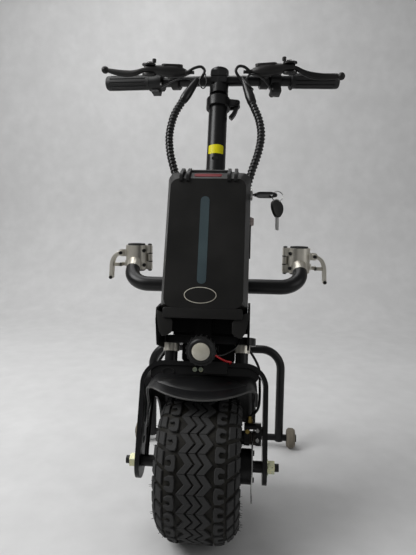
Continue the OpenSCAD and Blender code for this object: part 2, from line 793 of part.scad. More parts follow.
module carry_handle() color(black) on_column() translate([0, ear_y, battery_top + 9]) {
    arm_x = ear_x - 5 - gap - 3;
    for (s = [-1, 1]) on_side(s) {
        translate([arm_x - 3, 0, 0]) along_x(9, 6);
        translate([arm_x - 3, 0, -4.5]) cube([6, handle_len, 9]);
        translate([arm_x, 0, 0]) along_x(5, 12);
    }
    translate([-arm_x - 3, handle_len, 0]) along_x(9, 2 * arm_x + 6);
}

module lock_barrel() color(steel) on_column() translate([case_w / 2 - 10, lock_y, lock_z]) difference() {
    union() {
        along_x(lock_d, 14);
        translate([10, 0, 0]) along_x(lock_d + 5, 3);
    }
    translate([3, 0, 0]) along_x(7.5, 20);
}

module ignition_key() color(black) on_column() translate([case_w / 2, lock_y, lock_z]) {
    key_body();
    translate([bead_x, 0, 0]) sphere(bead_r);
}

// Key with a slotted head for its ring
module key_body() difference() {
    union() {
        translate([-5, -3, -1]) cube([14, 6, 2]);
        translate([7, 0, 0]) along_x(7, 6);
        translate([key_x - 10, 0, -2.5]) linear_extrude(5) rotate(90) slot(36, 20);
    }
    translate([key_x + 1, 0, -10]) linear_extrude(20) slot(14, 10);
}

// Ring through the ignition key's hole, and the second key hanging from it
module spare_key() color("silver") on_column()
    translate([case_w / 2 + ring_x, lock_y, lock_z - ring_drop]) {
        rotate([90, 0, 0]) rotate_extrude() translate([ring_r, 0]) circle(d = ring_wire);
        translate([0, 0, -ring_r]) rotate([0, 0, 45]) difference() {
            union() {
                translate([0, 1.5, 0]) rotate([90, 0, 0]) linear_extrude(3) {
                    translate([0, -10]) circle(14);
                    translate([0, -21]) circle(8);
                }
                translate([-3.5, -1, -56]) cube([7, 2, 36]);
            }
            translate([0, 10, -2]) rotate([90, 0, 0]) cylinder(d = 7, h = 20);
        }
    }

module controller_box() color("gray") on_column()
    translate([-50, tray_t - battery_back, box_z]) cube([100, box_depth, box_top - box_z]);

// Lights and horn

module on_light()
    on_column() translate([0, 6 - battery_front, lamp_z]) rotate([rake, 0, 0]) children();

module headlight() color(black) {
    on_light() difference() {
        rotate([-90, 0, 0]) rotate_extrude()
            polygon([[0, 0], [lamp_r, 0], [lamp_r, 7], [lamp_r - 3, 9], [lamp_r - 3, 24], [13, 38], [0, 41]]);
        translate([0, -over, 0]) rotate([-90, 0, 0]) cylinder(r = lens_r, h = 14 + over);
    }
    for (s = [-1, 1]) on_light() translate([s * lamp_r - 4, 17, 0]) along_x(12, 8);
    on_column() translate([-14, 26 - battery_front, lamp_z + 10]) cube([28, 6, tray_z - lamp_z - 10]);
}

module headlight_lens() color("lightyellow") on_light() intersection() {
    translate([0, 30, 0]) sphere(36);
    translate([0, -10, 0]) rotate([-90, 0, 0]) cylinder(r = lens_r - fit, h = 24);
}

module horn() color([0.15, 0.15, 0.18]) on_column()
    translate([0, axle_cy - fork_w / 2 - 22, fork_z + fork_t - 21]) cube([42, 22, 21]);

// Steering head, arms and clamps

module steering_head() color(black) on_column() difference() {
    union() {
        translate([0, 0, head_z]) cylinder(d = head_d, h = head_len);
        translate([-22, 0, arm_cz - 20]) cube([44, arm_back, 40]);
        translate([-sleeve_len / 2, arm_back, arm_cz]) along_x(sleeve_d, sleeve_len);
    }
    translate([0, 0, head_z - over]) cylinder(d = column_d + 4, h = head_len + 2 * over);
    for (z = [head_z - over, head_top - bearing_w]) translate([0, 0, z])
        cylinder(d = head_d - 8 + 2 * fit, h = bearing_w + over);
    translate([-huge / 2, arm_back, arm_cz]) along_x(arm_d + 2 * fit, huge);
}

module head_bearings() color(steel) on_column() for (z = [head_z, head_top - bearing_w])
    translate([0, 0, z]) tube(head_d - 8, column_d + 2 * run, bearing_w);

// Bent arm from the middle to its clamp, with its open ends run on by some length
module arm_path(d, extra) {
    bend_x = clamp_span / 2 - arm_bend;
    translate([2 - extra, 0, 0]) along_x(d, bend_x - 2 + extra);
    translate([bend_x, arm_bend, 0]) rotate([0, 0, -90]) rotate_extrude(angle = 90)
        translate([arm_bend, 0]) circle(d = d);
    translate([clamp_span / 2, arm_bend, 0]) rotate([-90, 0, 0]) cylinder(d = d, h = arm_stub + extra);
}

module arm_tubes() color(black) for (s = [-1, 1]) on_side(s)
    translate([0, arm_y, arm_z]) rotate([arm_slope, 0, 0]) difference() {
        arm_path(arm_d, 0);
        arm_path(arm_d - 2 * arm_wall, over);
    }

// Clamp frame: origin on the clamp's axis, +X outwards
module on_clamp(side) on_side(side) translate([clamp_span / 2, clamp_y, clamp_z]) children();

// One half of a clamp ring: the front half for a negative side
module half_ring(side, outer, inner, h) intersection() {
    translate([0, 0, -h / 2]) tube(2 * outer, 2 * inner, h);
    translate([-huge / 2, side > 0 ? split : -huge - split, -huge / 2]) cube([huge, huge, huge]);
}

module knuckle(side, z, h) difference() {
    union() {
        translate([-hinge_x, 0, z]) cylinder(d = knuckle_d, h = h);
        translate([-hinge_x, side > 0 ? split : -6, z]) cube([hinge_x - liner_r - 4, 6 - split, h]);
    }
    translate([-hinge_x, 0, z - over])
        cylinder(d = hinge_pin_d + 2 * (side > 0 ? run : fit), h = h + 2 * over);
}

module clamp_body() {
    third = clamp_h / 3;
    difference() {
        union() {
            half_ring(-1, clamp_r, liner_r, clamp_h);
            intersection() {
                rotate([arm_slope, 0, 0]) rotate([90, 0, 0]) cylinder(d = arm_d, h = boss_reach);
                translate([-huge / 2, -huge - split, -huge / 2]) cube([huge, huge, huge]);
            }
            rotate([arm_slope, 0, 0]) translate([0, -boss_reach + over, 0]) rotate([90, 0, 0])
                cylinder(d = arm_d - 2 * arm_wall - 2 * fit, h = arm_stub + over);
            translate([clamp_r - 4, -14, latch_z - 8]) cube([latch_out + 4, 8, 16]);
            translate([clamp_r + latch_out, -14, latch_z]) rotate([-90, 0, 0]) cylinder(d = 16, h = 8);
        }
        translate([0, 0, -huge / 2]) cylinder(r = liner_r, h = huge);
        translate([clamp_r + latch_out, -30, latch_z]) rotate([-90, 0, 0])
            cylinder(d = 5 + 2 * run, h = 30);
    }
    knuckle(-1, -clamp_h / 2, third);
    knuckle(-1, clamp_h / 2 - third, third);
    translate([-hinge_x, 0, -clamp_h / 2 - 1]) cylinder(d = hinge_pin_d, h = clamp_h + 2);
}

module clamp_bodies() color(alloy) for (s = [-1, 1]) on_clamp(s) clamp_body();

module clamp_liners() color(rubber) for (s = [-1, 1]) on_clamp(s)
    half_ring(-1, liner_r - fit, tube_d / 2, clamp_h + 4);

module clamp_jaw() {
    half_ring(1, clamp_r, liner_r, clamp_h);
    knuckle(1, -clamp_h / 6 + gap, clamp_h / 3 - 2 * gap);
    translate([clamp_r - 6, split, -22]) cube([9, 9.5, 14]);
}

module clamp_jaw_left() color(alloy) on_clamp(-1) clamp_jaw();

module clamp_jaw_right() color(alloy) on_clamp(1) clamp_jaw();

module jaw_liner() half_ring(1, liner_r - fit, tube_d / 2, clamp_h + 4);

module jaw_liner_left() color(rubber) on_clamp(-1) jaw_liner();

module jaw_liner_right() color(rubber) on_clamp(1) jaw_liner();

// Loop lever with a hook finger, hanging from its pin
module clamp_latch() translate([clamp_r + latch_out, 0, latch_z]) {
    lug = [-14 - gap - 4, -6 + gap];
    wide = lug[1] - lug[0] + 4;
    rotate([0, -latch_flare, 0]) {
        for (y = lug) translate([0, y, 0]) rotate([-90, 0, 0]) {
            cylinder(d = 13, h = 4);
            translate([0, 28, 0]) linear_extrude(4) slot(66, 9);
        }
        translate([0, lug[0], -56]) rotate([-90, 0, 0]) cylinder(d = 9, h = wide);
    }
    translate([0, lug[0], 0]) rotate([-90, 0, 0]) cylinder(d = 5, h = wide);
    translate([2, lug[1], -32]) cube([6, 21, 8]);
    translate([-3, 10.5, -32]) cube([7, lug[1] + 21 - 10.5, 8]);
}

module clamp_latch_left() color(alloy) on_clamp(-1) clamp_latch();

module clamp_latch_right() color(alloy) on_clamp(1) clamp_latch();

// Parking stand

module stand_hanger() color(black) difference() {
    run_y = stand_y - arm_y;
    run_z = stand_z - arm_z;
    union() {
        for (s = [-1, 1]) on_side(s) translate([hanger_x, arm_y, arm_z]) {
            along_x(sleeve_d + 14, 6);
            translate([0, run_y, run_z]) along_x(stand_d + 16, 6);
            rotate([atan2(run_z, run_y), 0, 0]) translate([0, 0, -13]) cube([6, norm([run_y, run_z]), 26]);
        }
        translate([-hanger_x, arm_y + run_y / 2, arm_z + run_z / 2]) along_x(16, 2 * hanger_x);
    }
    translate([-huge / 2, arm_y, arm_z]) along_x(sleeve_d + 2 * fit, huge);
    translate([-huge / 2, stand_y, stand_z]) along_x(stand_d + 2 * run, huge);
}

module on_stand() translate([0, stand_y, stand_z]) rotate([-lean_angle, 0, 0]) children();

module stand_path(d, extra) {
    flat = stand_span / 2 - stand_bend;
    translate([-flat, 0, 0]) along_x(d, 2 * flat);
    for (s = [-1, 1]) on_side(s) {
        translate([flat, 0, -stand_bend]) rotate([90, 0, 0]) rotate_extrude(angle = 90)
            translate([stand_bend, 0]) circle(d = d);
        translate([stand_span / 2, 0, -leg_len - extra]) cylinder(d = d, h = leg_len + extra - stand_bend);
    }
}

module parking_stand() color(black) on_stand() {
    difference() {
        stand_path(stand_d, 8);
        stand_path(stand_d - 4, 8 + over);
    }
    translate([0, 0, -leg_len]) {
        translate([-stand_span / 2, 0, 0]) along_x(stand_d - 4, stand_span);
        for (s = [-1, 1]) on_side(s) translate([stand_span / 2, 0, 0]) {
            along_x(10, stand_d / 2 + roller_off + roller_w + 2);
            along_x(16, stand_d / 2 + roller_off - gap);
            translate([stand_d / 2 + roller_off + roller_w + gap, 0, 0]) along_x(18, 3);
        }
    }
}

module roller()
    on_stand() translate([stand_span / 2 + stand_d / 2 + roller_off, 0, -leg_len]) rotate([0, 90, 0])
    rotate_extrude() polygon([
        [5 + run, 0], [roller_d / 2 - 4, 0], [roller_d / 2, 5], [roller_d / 2, roller_w - 5],
        [roller_d / 2 - 4, roller_w], [5 + run, roller_w]
    ]);

module roller_left() color([0.36, 0.33, 0.29]) on_side(-1) roller();

module roller_right() color([0.36, 0.33, 0.29]) roller();

tyre();
hub_shell();
hub_covers();
wheel_bearings();
motor_stator();
axle();
axle_nuts();
brake_disc();
disc_bolts();
brake_calliper();
brake_pads();
fork();
mudguard();
fork_pillars();
pillar_collars();
fork_crown();
steering_column();
height_collar();
height_lever();
bar_stem();
stem_head();
handlebar();
throttle_grip();
hand_grip();
throttle_housing();
switch_pod();
horn_button();
light_switch();
lever_mounts();
brake_lever_left();
brake_lever_right();
cable_sleeves();
wheel_cables();
battery_tray();
battery_case();
battery_cover();
cell_pack();
carry_handle();
lock_barrel();
ignition_key();
spare_key();
controller_box();
headlight();
headlight_lens();
horn();
steering_head();
head_bearings();
arm_tubes();
clamp_bodies();
clamp_liners();
clamp_jaw_left();
clamp_jaw_right();
jaw_liner_left();
jaw_liner_right();
clamp_latch_left();
clamp_latch_right();
stand_hanger();
parking_stand();
roller_left();
roller_right();
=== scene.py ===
"""Looks of a front drive unit for a wheelchair: finishes, trim, cables, tread, light and camera.

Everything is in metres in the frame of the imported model: +Z up, -Y to the front. Sizes in the
dataclasses are in millimetres. The steering frame stands on the steering axis at axle height, with
its +Z along that axis.
"""

import json
import logging
import math
import random
from dataclasses import dataclass, field
from enum import Enum
from typing import Iterable, Optional, Sequence

import bmesh
import bpy
from mathutils import Matrix, Vector


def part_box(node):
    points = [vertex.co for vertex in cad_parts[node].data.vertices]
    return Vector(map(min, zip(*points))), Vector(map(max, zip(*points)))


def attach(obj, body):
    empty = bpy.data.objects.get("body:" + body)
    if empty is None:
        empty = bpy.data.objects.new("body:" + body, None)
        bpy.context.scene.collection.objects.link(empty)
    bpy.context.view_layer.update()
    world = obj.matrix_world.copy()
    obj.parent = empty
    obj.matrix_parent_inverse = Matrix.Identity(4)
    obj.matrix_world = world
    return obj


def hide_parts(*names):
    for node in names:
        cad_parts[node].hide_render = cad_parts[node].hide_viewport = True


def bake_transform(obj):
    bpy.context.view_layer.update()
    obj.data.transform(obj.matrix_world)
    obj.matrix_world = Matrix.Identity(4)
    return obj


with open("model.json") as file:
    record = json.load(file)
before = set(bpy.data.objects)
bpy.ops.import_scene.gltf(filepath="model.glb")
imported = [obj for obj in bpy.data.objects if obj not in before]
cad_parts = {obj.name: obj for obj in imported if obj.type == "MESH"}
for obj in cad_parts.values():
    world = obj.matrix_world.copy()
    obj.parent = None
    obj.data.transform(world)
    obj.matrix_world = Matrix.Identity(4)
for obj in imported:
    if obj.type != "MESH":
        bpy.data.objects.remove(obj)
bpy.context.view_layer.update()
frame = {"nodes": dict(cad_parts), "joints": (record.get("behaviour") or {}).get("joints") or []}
MM = 0.001
LOG = logging.getLogger("drive_unit")

Flat = tuple[float, float]
Point = tuple[float, float, float]
Mesh = bmesh.types.BMesh

SIDES = ((-1, "left"), (1, "right"))
QUARTER = math.pi / 2
TO_FRONT = Matrix.Rotation(QUARTER, 4, "X")  # Turns +Z to the front
MERGE_MM = 0.001
BAR_BORE_R = 11.2  # Housings and grips sit on the bar with this bore
LEVER_TILT_DEG = 24.0  # Turn of the brake levers about the bar
LEVER_PIVOT: Point = (92.0, -46.0, 18.0)  # In the lever's frame
LAMP: Point = (0.0, -138.0, 180.2)  # Middle of the lamp's face, in the steering frame
LAMP_LEAN_DEG = 20.0  # Turns the lamp's face level


class Pattern(Enum):
    """How a surface was made, which decides the pattern of its colour and bump."""

    MOULDED = "moulded"
    COATED = "coated"
    BRUSHED = "brushed"
    CAST = "cast"
    DUSTY = "dusty"


# How a finish's fine grain and its broad clouds are drawn
BRUSH_STRETCH = 0.06
PLAIN_DETAIL = 2.5
GRAIN_DETAIL = {Pattern.CAST: 5.0, Pattern.DUSTY: 6.0}
GRAIN_ROUGHNESS = 0.6
CLOUD_MM = 60.0
CLOUD_DETAIL = 3.0
RAMP_ENDS = (0.12, 0.42)
LEAST_ROUGHNESS = 0.02
BUMP_SHARE = 0.15


def linear(hex_colour: str) -> tuple[float, float, float, float]:
    """Turns an sRGB hex colour into linear light.

    Args:
        hex_colour: Six hex digits with a leading hash.

    Returns:
        Red, green, blue and an alpha of one.
    """
    parts = [int(hex_colour[i:i + 2], 16) / 255 for i in (1, 3, 5)]
    red, green, blue = (c / 12.92 if c <= 0.04045 else ((c + 0.055) / 1.055) ** 2.4 for c in parts)
    return red, green, blue, 1.0


def add_node(tree: bpy.types.NodeTree, kind: str, settings: Optional[dict] = None,
             links: Optional[dict] = None) -> bpy.types.Node:
    """Adds one node with its settings and incoming links.

    Args:
        tree: Node tree that gets the node.
        kind: Type name of the node.
        settings: Attribute or input names with their values.
        links: Input names or numbers with the output sockets that feed them.

    Returns:
        The new node.
    """
    node = tree.nodes.new(kind)
    for name, value in (settings or {}).items():
        if hasattr(node, name):
            setattr(node, name, value)
        else:
            node.inputs[name].default_value = value
    for name, socket in (links or {}).items():
        tree.links.new(socket, node.inputs[name])
    return node


@dataclass(frozen=True)
class Finish:
    """A surface finish, from what the real material is and how it was made."""

    name: str
    base: str
    shade: str
    roughness: float
    grain_mm: float
    pattern: Pattern = Pattern.MOULDED
    metallic: float = 0.0
    ior: float = 1.5
    bump: float = 0.15
    rough_spread: float = 0.1
    coat: float = 0.0

    def material(self) -> bpy.types.Material:
        """Gives the finish's node material.

        Returns:
            The material, made at the first call.
        """
        known = bpy.data.materials.get(self.name)
        if known:
            return known
        made = bpy.data.materials.new(self.name)
        made.use_nodes = True
        self._build(made.node_tree)
        return made

    def _grain(self, tree: bpy.types.NodeTree) -> bpy.types.NodeSocket:
        """Adds the pattern's texture.

        Args:
            tree: The material's node tree.

        Returns:
            The socket that carries the pattern, from 0 to 1.
        """
        place = add_node(tree, "ShaderNodeTexCoord").outputs["Object"]
        if self.pattern is Pattern.BRUSHED:
            drawn = add_node(tree, "ShaderNodeMapping", {"Scale": (1.0, 1.0, BRUSH_STRETCH)},
                             {"Vector": place})
            place = drawn.outputs["Vector"]
        settings = {"Scale": 1.0 / (self.grain_mm * MM),
                    "Detail": GRAIN_DETAIL.get(self.pattern, PLAIN_DETAIL),
                    "Roughness": GRAIN_ROUGHNESS}
        return add_node(tree, "ShaderNodeTexNoise", settings, {"Vector": place}).outputs["Fac"]

    def _build(self, tree: bpy.types.NodeTree) -> None:
        """Links the pattern into colour, roughness and bump.

        Args:
            tree: The material's node tree.
        """
        shader = tree.nodes["Principled BSDF"]
        grain = self._grain(tree)
        place = add_node(tree, "ShaderNodeTexCoord").outputs["Object"]
        cloud = add_node(tree, "ShaderNodeTexNoise",
                         {"Scale": 1 / (CLOUD_MM * MM), "Detail": CLOUD_DETAIL},
                         {"Vector": place}).outputs["Fac"]
        blend = add_node(tree, "ShaderNodeMath", {"operation": "MULTIPLY"}, {0: grain, 1: cloud})
        ramp = add_node(tree, "ShaderNodeValToRGB", None, {"Fac": blend.outputs["Value"]})
        low, high = ramp.color_ramp.elements
        low.position, high.position = RAMP_ENDS
        low.color, high.color = linear(self.base), linear(self.shade)
        rough = add_node(tree, "ShaderNodeMapRange", {
            "To Min": max(LEAST_ROUGHNESS, self.roughness - self.rough_spread),
            "To Max": min(1.0, self.roughness + self.rough_spread)}, {"Value": cloud})
        bump = add_node(tree, "ShaderNodeBump", {
            "Strength": self.bump, "Distance": BUMP_SHARE * self.grain_mm * MM}, {"Height": grain})
        for name, socket in (("Base Color", ramp.outputs["Color"]),
                             ("Roughness", rough.outputs["Result"]),
                             ("Normal", bump.outputs["Normal"])):
            tree.links.new(socket, shader.inputs[name])
        shader.inputs["Metallic"].default_value = self.metallic
        if not self.metallic:
            shader.inputs["IOR"].default_value = self.ior
        shader.inputs["Coat Weight"].default_value = self.coat


# Real moulded, cast and turned grain is finer than these sizes; it is drawn at 0.7 mm and up, so
# that it shows in the render.

# Satin powder coat on steel tube: near black with a soft sheen and a fine orange peel
POWDER = Finish("powder_coat_black", "#0b0b0c", "#141415", 0.34, 1.6, Pattern.COATED, ior=1.36,
                bump=0.12)
# Matt powder coat of the tray and the lamp, painted blacker than the real coat as painted shade of
# the deep recess under the battery; almost without a highlight
TRAY_SHADE_COAT = Finish("powder_coat_matt_painted_shade", "#040404", "#090909", 0.62, 1.6, Pattern.COATED, ior=1.2,
                   bump=0.12)
# Satin ABS of the battery case: near black, slightly warm, with a fine moulded grain
CASE_ABS = Finish("abs_satin_black", "#121211", "#1b1a19", 0.36, 0.9, ior=1.36, bump=0.1)
# Moulded nylon of the small housings: black and a little rougher than the case
NYLON = Finish("nylon_black", "#0d0d0d", "#171717", 0.44, 0.8, ior=1.38, bump=0.2)
# Moulded polypropylene of the mudguard: dark grey with a dull sheen
GUARD_PP = Finish("polypropylene_dark", "#0f0f10", "#19191a", 0.34, 1.4, ior=1.38, bump=0.12)
# The mudguard's front edge bead, paler than its face as a painted highlight along the edge
GUARD_EDGE_HIGHLIGHT = Finish("polypropylene_edge_highlight", "#2c2c2b", "#454543", 0.4, 1.0, bump=0.12)
# Tyre rubber of the tread blocks: black and scuffed, with a trace of dust
TYRE_RUBBER = Finish("tyre_rubber", "#080808", "#181713", 0.36, 5.0, Pattern.DUSTY, ior=1.4,
                     bump=0.3, rough_spread=0.2)
# Tyre rubber of the tread's ground and the sidewall, where brown dust settles
TYRE_SIDE = Finish("tyre_sidewall", "#0d0c0a", "#26241e", 0.62, 9.0, Pattern.DUSTY, ior=1.3,
                   bump=0.3)
# Moulded grip rubber: matt black
GRIP_RUBBER = Finish("grip_rubber", "#131313", "#1f1f1f", 0.55, 1.0, ior=1.4, bump=0.3)
# Polythene spiral wrap and cable sheath: black and slightly glossy
WRAP = Finish("polythene_wrap", "#0a0a0a", "#151515", 0.3, 1.2, ior=1.42, bump=0.12)
# Cast and turned aluminium, left bare: pale, with fine casting grain
ALUMINIUM = Finish("aluminium_bare", "#b3afa4", "#dcd8cd", 0.32, 0.7, Pattern.CAST, 0.75,
                   bump=0.14)
# Turned steel: fine lines along the cut
STEEL = Finish("steel_turned", "#9b9b9a", "#c4c4c2", 0.28, 1.2, Pattern.BRUSHED, 1.0, bump=0.12)
# Zinc plated nuts and screws: pale with a faint yellow green
ZINC = Finish("zinc_plate", "#8fa096", "#cfc79d", 0.26, 3.2, Pattern.CAST, 1.0, bump=0.08)
# Black oxide on steel: dark grey with a soft metal sheen
OXIDE = Finish("black_oxide", "#1b1b1b", "#2b2a29", 0.4, 0.9, Pattern.CAST, 0.6, bump=0.15)
# Hard rubber rollers: dark olive brown, dulled by dust
ROLLER = Finish("roller_rubber", "#100e0b", "#1a1712", 0.6, 1.5, Pattern.DUSTY, ior=1.4, bump=0.3)
# Copper windings, out of sight but still dressed: red brown strands
COPPER = Finish("copper_winding", "#8c5430", "#b87345", 0.4, 1.0, Pattern.BRUSHED, 1.0)
# Shrunk PVC round the cells, out of sight too: plain blue
WRAP_BLUE = Finish("pvc_wrap_blue", "#1d3f86", "#2a55a6", 0.4, 2.0)
# Sintered pad compound: brown grey and coarse
SINTER = Finish("sintered_pad", "#3b3733", "#57514a", 0.7, 0.8, Pattern.CAST, 0.3, bump=0.3)
# Extruded and anodised aluminium of the controller: dark grey with drawn lines
ANODISED = Finish("anodised_grey", "#3a3a3c", "#4a4a4d", 0.4, 1.0, Pattern.BRUSHED, 0.9)
# Moulded ABS button: plain red
RED_ABS = Finish("abs_red", "#8c1d22", "#a8292f", 0.35, 0.8, bump=0.1)
# Polycarbonate dome over a pale reflector: glossy and milky
LENS = Finish("polycarbonate_lens", "#aba798", "#bcb8a9", 0.1, 14.0, ior=1.585, bump=0.03,
              coat=0.8)
# Vinyl film of the front strip: teal grey
TEAL_FILM = Finish("vinyl_teal", "#26343a", "#314347", 0.45, 1.0, bump=0.08)
# Vinyl film of the column's band: signal yellow
YELLOW_FILM = Finish("vinyl_yellow", "#d2c80a", "#e0d60e", 0.45, 1.5, ior=1.3, bump=0.06)
# Vinyl film of the badge's rim: pale and warm
PALE_FILM = Finish("vinyl_pale", "#b8b4a6", "#cdc9bb", 0.45, 1.0, bump=0.06)
# Reflector film on the battery's upper edge: dark red in shade
RED_FILM = Finish("reflector_red", "#5e141a", "#7c1e26", 0.5, 1.0, ior=1.25, bump=0.1)
# Soft rubber of the charge cap: warm grey
PORT_RUBBER = Finish("port_rubber_grey", "#8d817d", "#a39793", 0.55, 0.8, bump=0.15)
# PVC insulation of a thin wire: bright red
RED_WIRE = Finish("pvc_red", "#b0161c", "#c8242a", 0.4, 1.0, bump=0.06)
# Turned brass of the hose fitting: dull gold
BRASS = Finish("brass_turned", "#8d7a45", "#b8a05f", 0.3, 0.8, Pattern.BRUSHED, 1.0)

NODE_FINISHES: dict[str, Finish] = {
    "tyre": TYRE_RUBBER, "wheel_bearings": STEEL, "motor_stator": COPPER, "axle": OXIDE,
    "axle_nuts": ZINC, "brake_disc": STEEL, "disc_bolts": OXIDE, "brake_pads": SINTER,
    "mudguard": GUARD_PP, "pillar_collars": ALUMINIUM, "throttle_grip": GRIP_RUBBER,
    "hand_grip": GRIP_RUBBER, "throttle_housing": NYLON, "switch_pod": NYLON,
    "horn_button": RED_ABS, "light_switch": NYLON, "cable_sleeves": WRAP, "wheel_cables": WRAP,
    "battery_case": CASE_ABS, "battery_cover": CASE_ABS, "cell_pack": WRAP_BLUE,
    # The tray and the lamp take the blackened coat: painted shade of the recess under the battery
    "battery_tray": TRAY_SHADE_COAT, "carry_handle": NYLON, "lock_barrel": STEEL, "ignition_key": NYLON,
    "spare_key": STEEL, "controller_box": ANODISED, "headlight": TRAY_SHADE_COAT,
    "headlight_lens": LENS, "horn": NYLON, "head_bearings": STEEL, "clamp_bodies": ALUMINIUM,
    "clamp_liners": GRIP_RUBBER, "clamp_jaw_left": ALUMINIUM, "clamp_jaw_right": ALUMINIUM,
    "jaw_liner_left": GRIP_RUBBER, "jaw_liner_right": GRIP_RUBBER, "clamp_latch_left": ALUMINIUM,
    "clamp_latch_right": ALUMINIUM, "roller_left": ROLLER, "roller_right": ROLLER,
}


def dress_nodes() -> None:
    """Gives every node of the model its finish; what is not listed is powder coated."""
    for name, node in frame["nodes"].items():
        node.data.materials.clear()
        node.data.materials.append(NODE_FINISHES.get(name, POWDER).material())


def joint(name: str) -> dict:
    """Returns the model's joint of that name."""
    return next(j for j in frame["joints"] if j["name"] == name)


def column_frame() -> Matrix:
    """Gives the steering frame.

    Returns:
        Its matrix: origin on the steering axis at axle height, +Z along the axis.
    """
    turn = joint("steering_turn")
    lean = math.atan2(turn["axis"][1], turn["axis"][2])
    return Matrix.Translation(turn["pos_m"]) @ Matrix.Rotation(-lean, 4, "X")


def in_column(x: float, y: float, z: float) -> Matrix:
    """Returns the steering frame, moved to a point given in its millimetres."""
    return column_frame() @ Matrix.Translation(Vector((x, y, z)) * MM)


def facing(x: float, y: float, z: float) -> Matrix:
    """Returns a frame at a point of the steering frame, with +Z to the front."""
    return in_column(x, y, z) @ TO_FRONT


def lamp_face() -> Matrix:
    """Returns the frame of the lamp's face, with +X out of it."""
    lean = Matrix.Rotation(math.radians(LAMP_LEAN_DEG), 4, "X")
    return in_column(*LAMP) @ lean @ Matrix.Rotation(-QUARTER, 4, "Z")


def bar_frame(side: int) -> Matrix:
    """Gives one bar side's frame, with +X along the bar from its knee.

    Args:
        side: -1 for the left side, 1 for the right.

    Returns:
        The frame's matrix; the left one is a mirror image.
    """
    twist = joint("throttle_twist")
    column = column_frame()
    along = column.inverted().to_3x3() @ Vector(twist["axis"])
    along.x = -along.x
    knee = column.inverted() @ Vector(twist["pos_m"])
    sweep = math.atan2(along.y, along.x)
    rise = math.asin(along.z)
    local = Matrix.Translation((abs(knee.x), knee.y, knee.z))
    local = local @ Matrix.Rotation(sweep, 4, "Z") @ Matrix.Rotation(-rise, 4, "Y")
    return column @ Matrix.Diagonal((side, 1, 1, 1)) @ local


def lever_frame(side: int) -> Matrix:
    """Returns the frame of one brake lever: the bar side's frame, tilted."""
    return bar_frame(side) @ Matrix.Rotation(math.radians(LEVER_TILT_DEG), 4, "X")


def upright(x: float, y: float, z: float) -> Matrix:
    """Returns a frame for a mesh in millimetres, with +X up."""
    return Matrix.Translation((x, y, z)) @ Matrix.Rotation(-QUARTER, 4, "Y")


def forwards(x: float, y: float, z: float) -> Matrix:
    """Returns a frame for a mesh in millimetres, with +X to the front."""
    return Matrix.Translation((x, y, z)) @ Matrix.Rotation(-QUARTER, 4, "Z")


@dataclass
class Workbench:
    """Turns bmeshes into finished pieces that ride on a body."""

    sharp_deg: float = 35.0
    made: list[str] = field(default_factory=list)

    def piece(self, name: str, mesh: Mesh, body: str, finish: Finish,
              place: Optional[Matrix] = None, slot: str = "",
              replaces: Sequence[str] = ()) -> bpy.types.Object:
        """Finishes one piece.

        Args:
            name: Name of the piece.
            mesh: Its mesh in millimetres, in the frame given by place.
            body: Body that carries it.
            finish: Its finish.
            place: Frame of the mesh, in metres; the model's own frame if left out.
            slot: Material slot of the record; not used.
            replaces: Nodes that the piece stands for.

        Returns:
            The new object, with its place in its mesh.
        """
        bmesh.ops.remove_doubles(mesh, verts=mesh.verts, dist=MERGE_MM)
        metres = (place or Matrix()) @ Matrix.Scale(MM, 4)
        bmesh.ops.transform(mesh, matrix=metres, verts=mesh.verts)
        bmesh.ops.recalc_face_normals(mesh, faces=mesh.faces)
        data = bpy.data.meshes.new(name)
        mesh.to_mesh(data)
        mesh.free()
        data.shade_smooth()
        data.set_sharp_from_angle(angle=math.radians(self.sharp_deg))
        return self.place(name, data, body, finish, slot, replaces)

    def place(self, name: str, data: bpy.types.Mesh, body: str, finish: Finish, slot: str,
              replaces: Sequence[str]) -> bpy.types.Object:
        """Links a finished mesh as a piece.

        Args:
            name: Name of the piece.
            data: Its mesh, in metres in the model's frame.
            body: Body that carries it; empty for a piece that rides on no body.
            finish: Its finish.
            slot: Material slot of the record, or empty; not used.
            replaces: Nodes that the piece stands for, or none.

        Returns:
            The new object.
        """
        data.materials.append(finish.material())
        obj = bpy.data.objects.new(name, data)
        bpy.context.scene.collection.objects.link(obj)
        if body:
            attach(obj, body)
        if replaces:
            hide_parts(*replaces)
        self.made.append(name)
        LOG.info("piece %s on %s", name, body or "two bodies")
        return obj

    def tube(self, name: str, points: Iterable[Vector], radius: float, body: str, finish: Finish,
             slot: str = "", replaces: Sequence[str] = (), sides: int = 3,
             smooth_steps: int = 8) -> bpy.types.Object:
        """Makes a round wire or hose along a smooth curve.

        Args:
            name: Name of the piece.
            points: Route in metres in the model's frame.
            radius: Radius in millimetres.
            body: Body that carries it; empty for a piece that rides on no body.
            finish: Its finish.
            slot: Material slot of the record; not used.
            replaces: Nodes that the piece stands for.
            sides: Steps of the round section.
            smooth_steps: Steps between two points of the route.

        Returns:
            The new mesh object.
        """
        curve = bpy.data.curves.new(name + "_route", "CURVE")
        curve.dimensions = "3D"
        spline = curve.splines.new("BEZIER")
        route = list(points)
        spline.bezier_points.add(len(route) - 1)
        for knot, point in zip(spline.bezier_points, route):
            knot.co = point
            knot.handle_left_type = knot.handle_right_type = "AUTO"
        curve.bevel_depth = radius * MM
        curve.bevel_resolution = sides
        curve.resolution_u = smooth_steps
        curve.use_fill_caps = True
        carrier = bpy.data.objects.new(name + "_route", curve)
        bpy.context.scene.collection.objects.link(carrier)
        bpy.context.view_layer.update()
        drawn = carrier.evaluated_get(bpy.context.evaluated_depsgraph_get())
        data = bpy.data.meshes.new_from_object(drawn)
        data.name = name
        bpy.data.objects.remove(carrier)
        data.materials.clear()
        data.shade_smooth()
        return self.place(name, data, body, finish, slot, replaces)


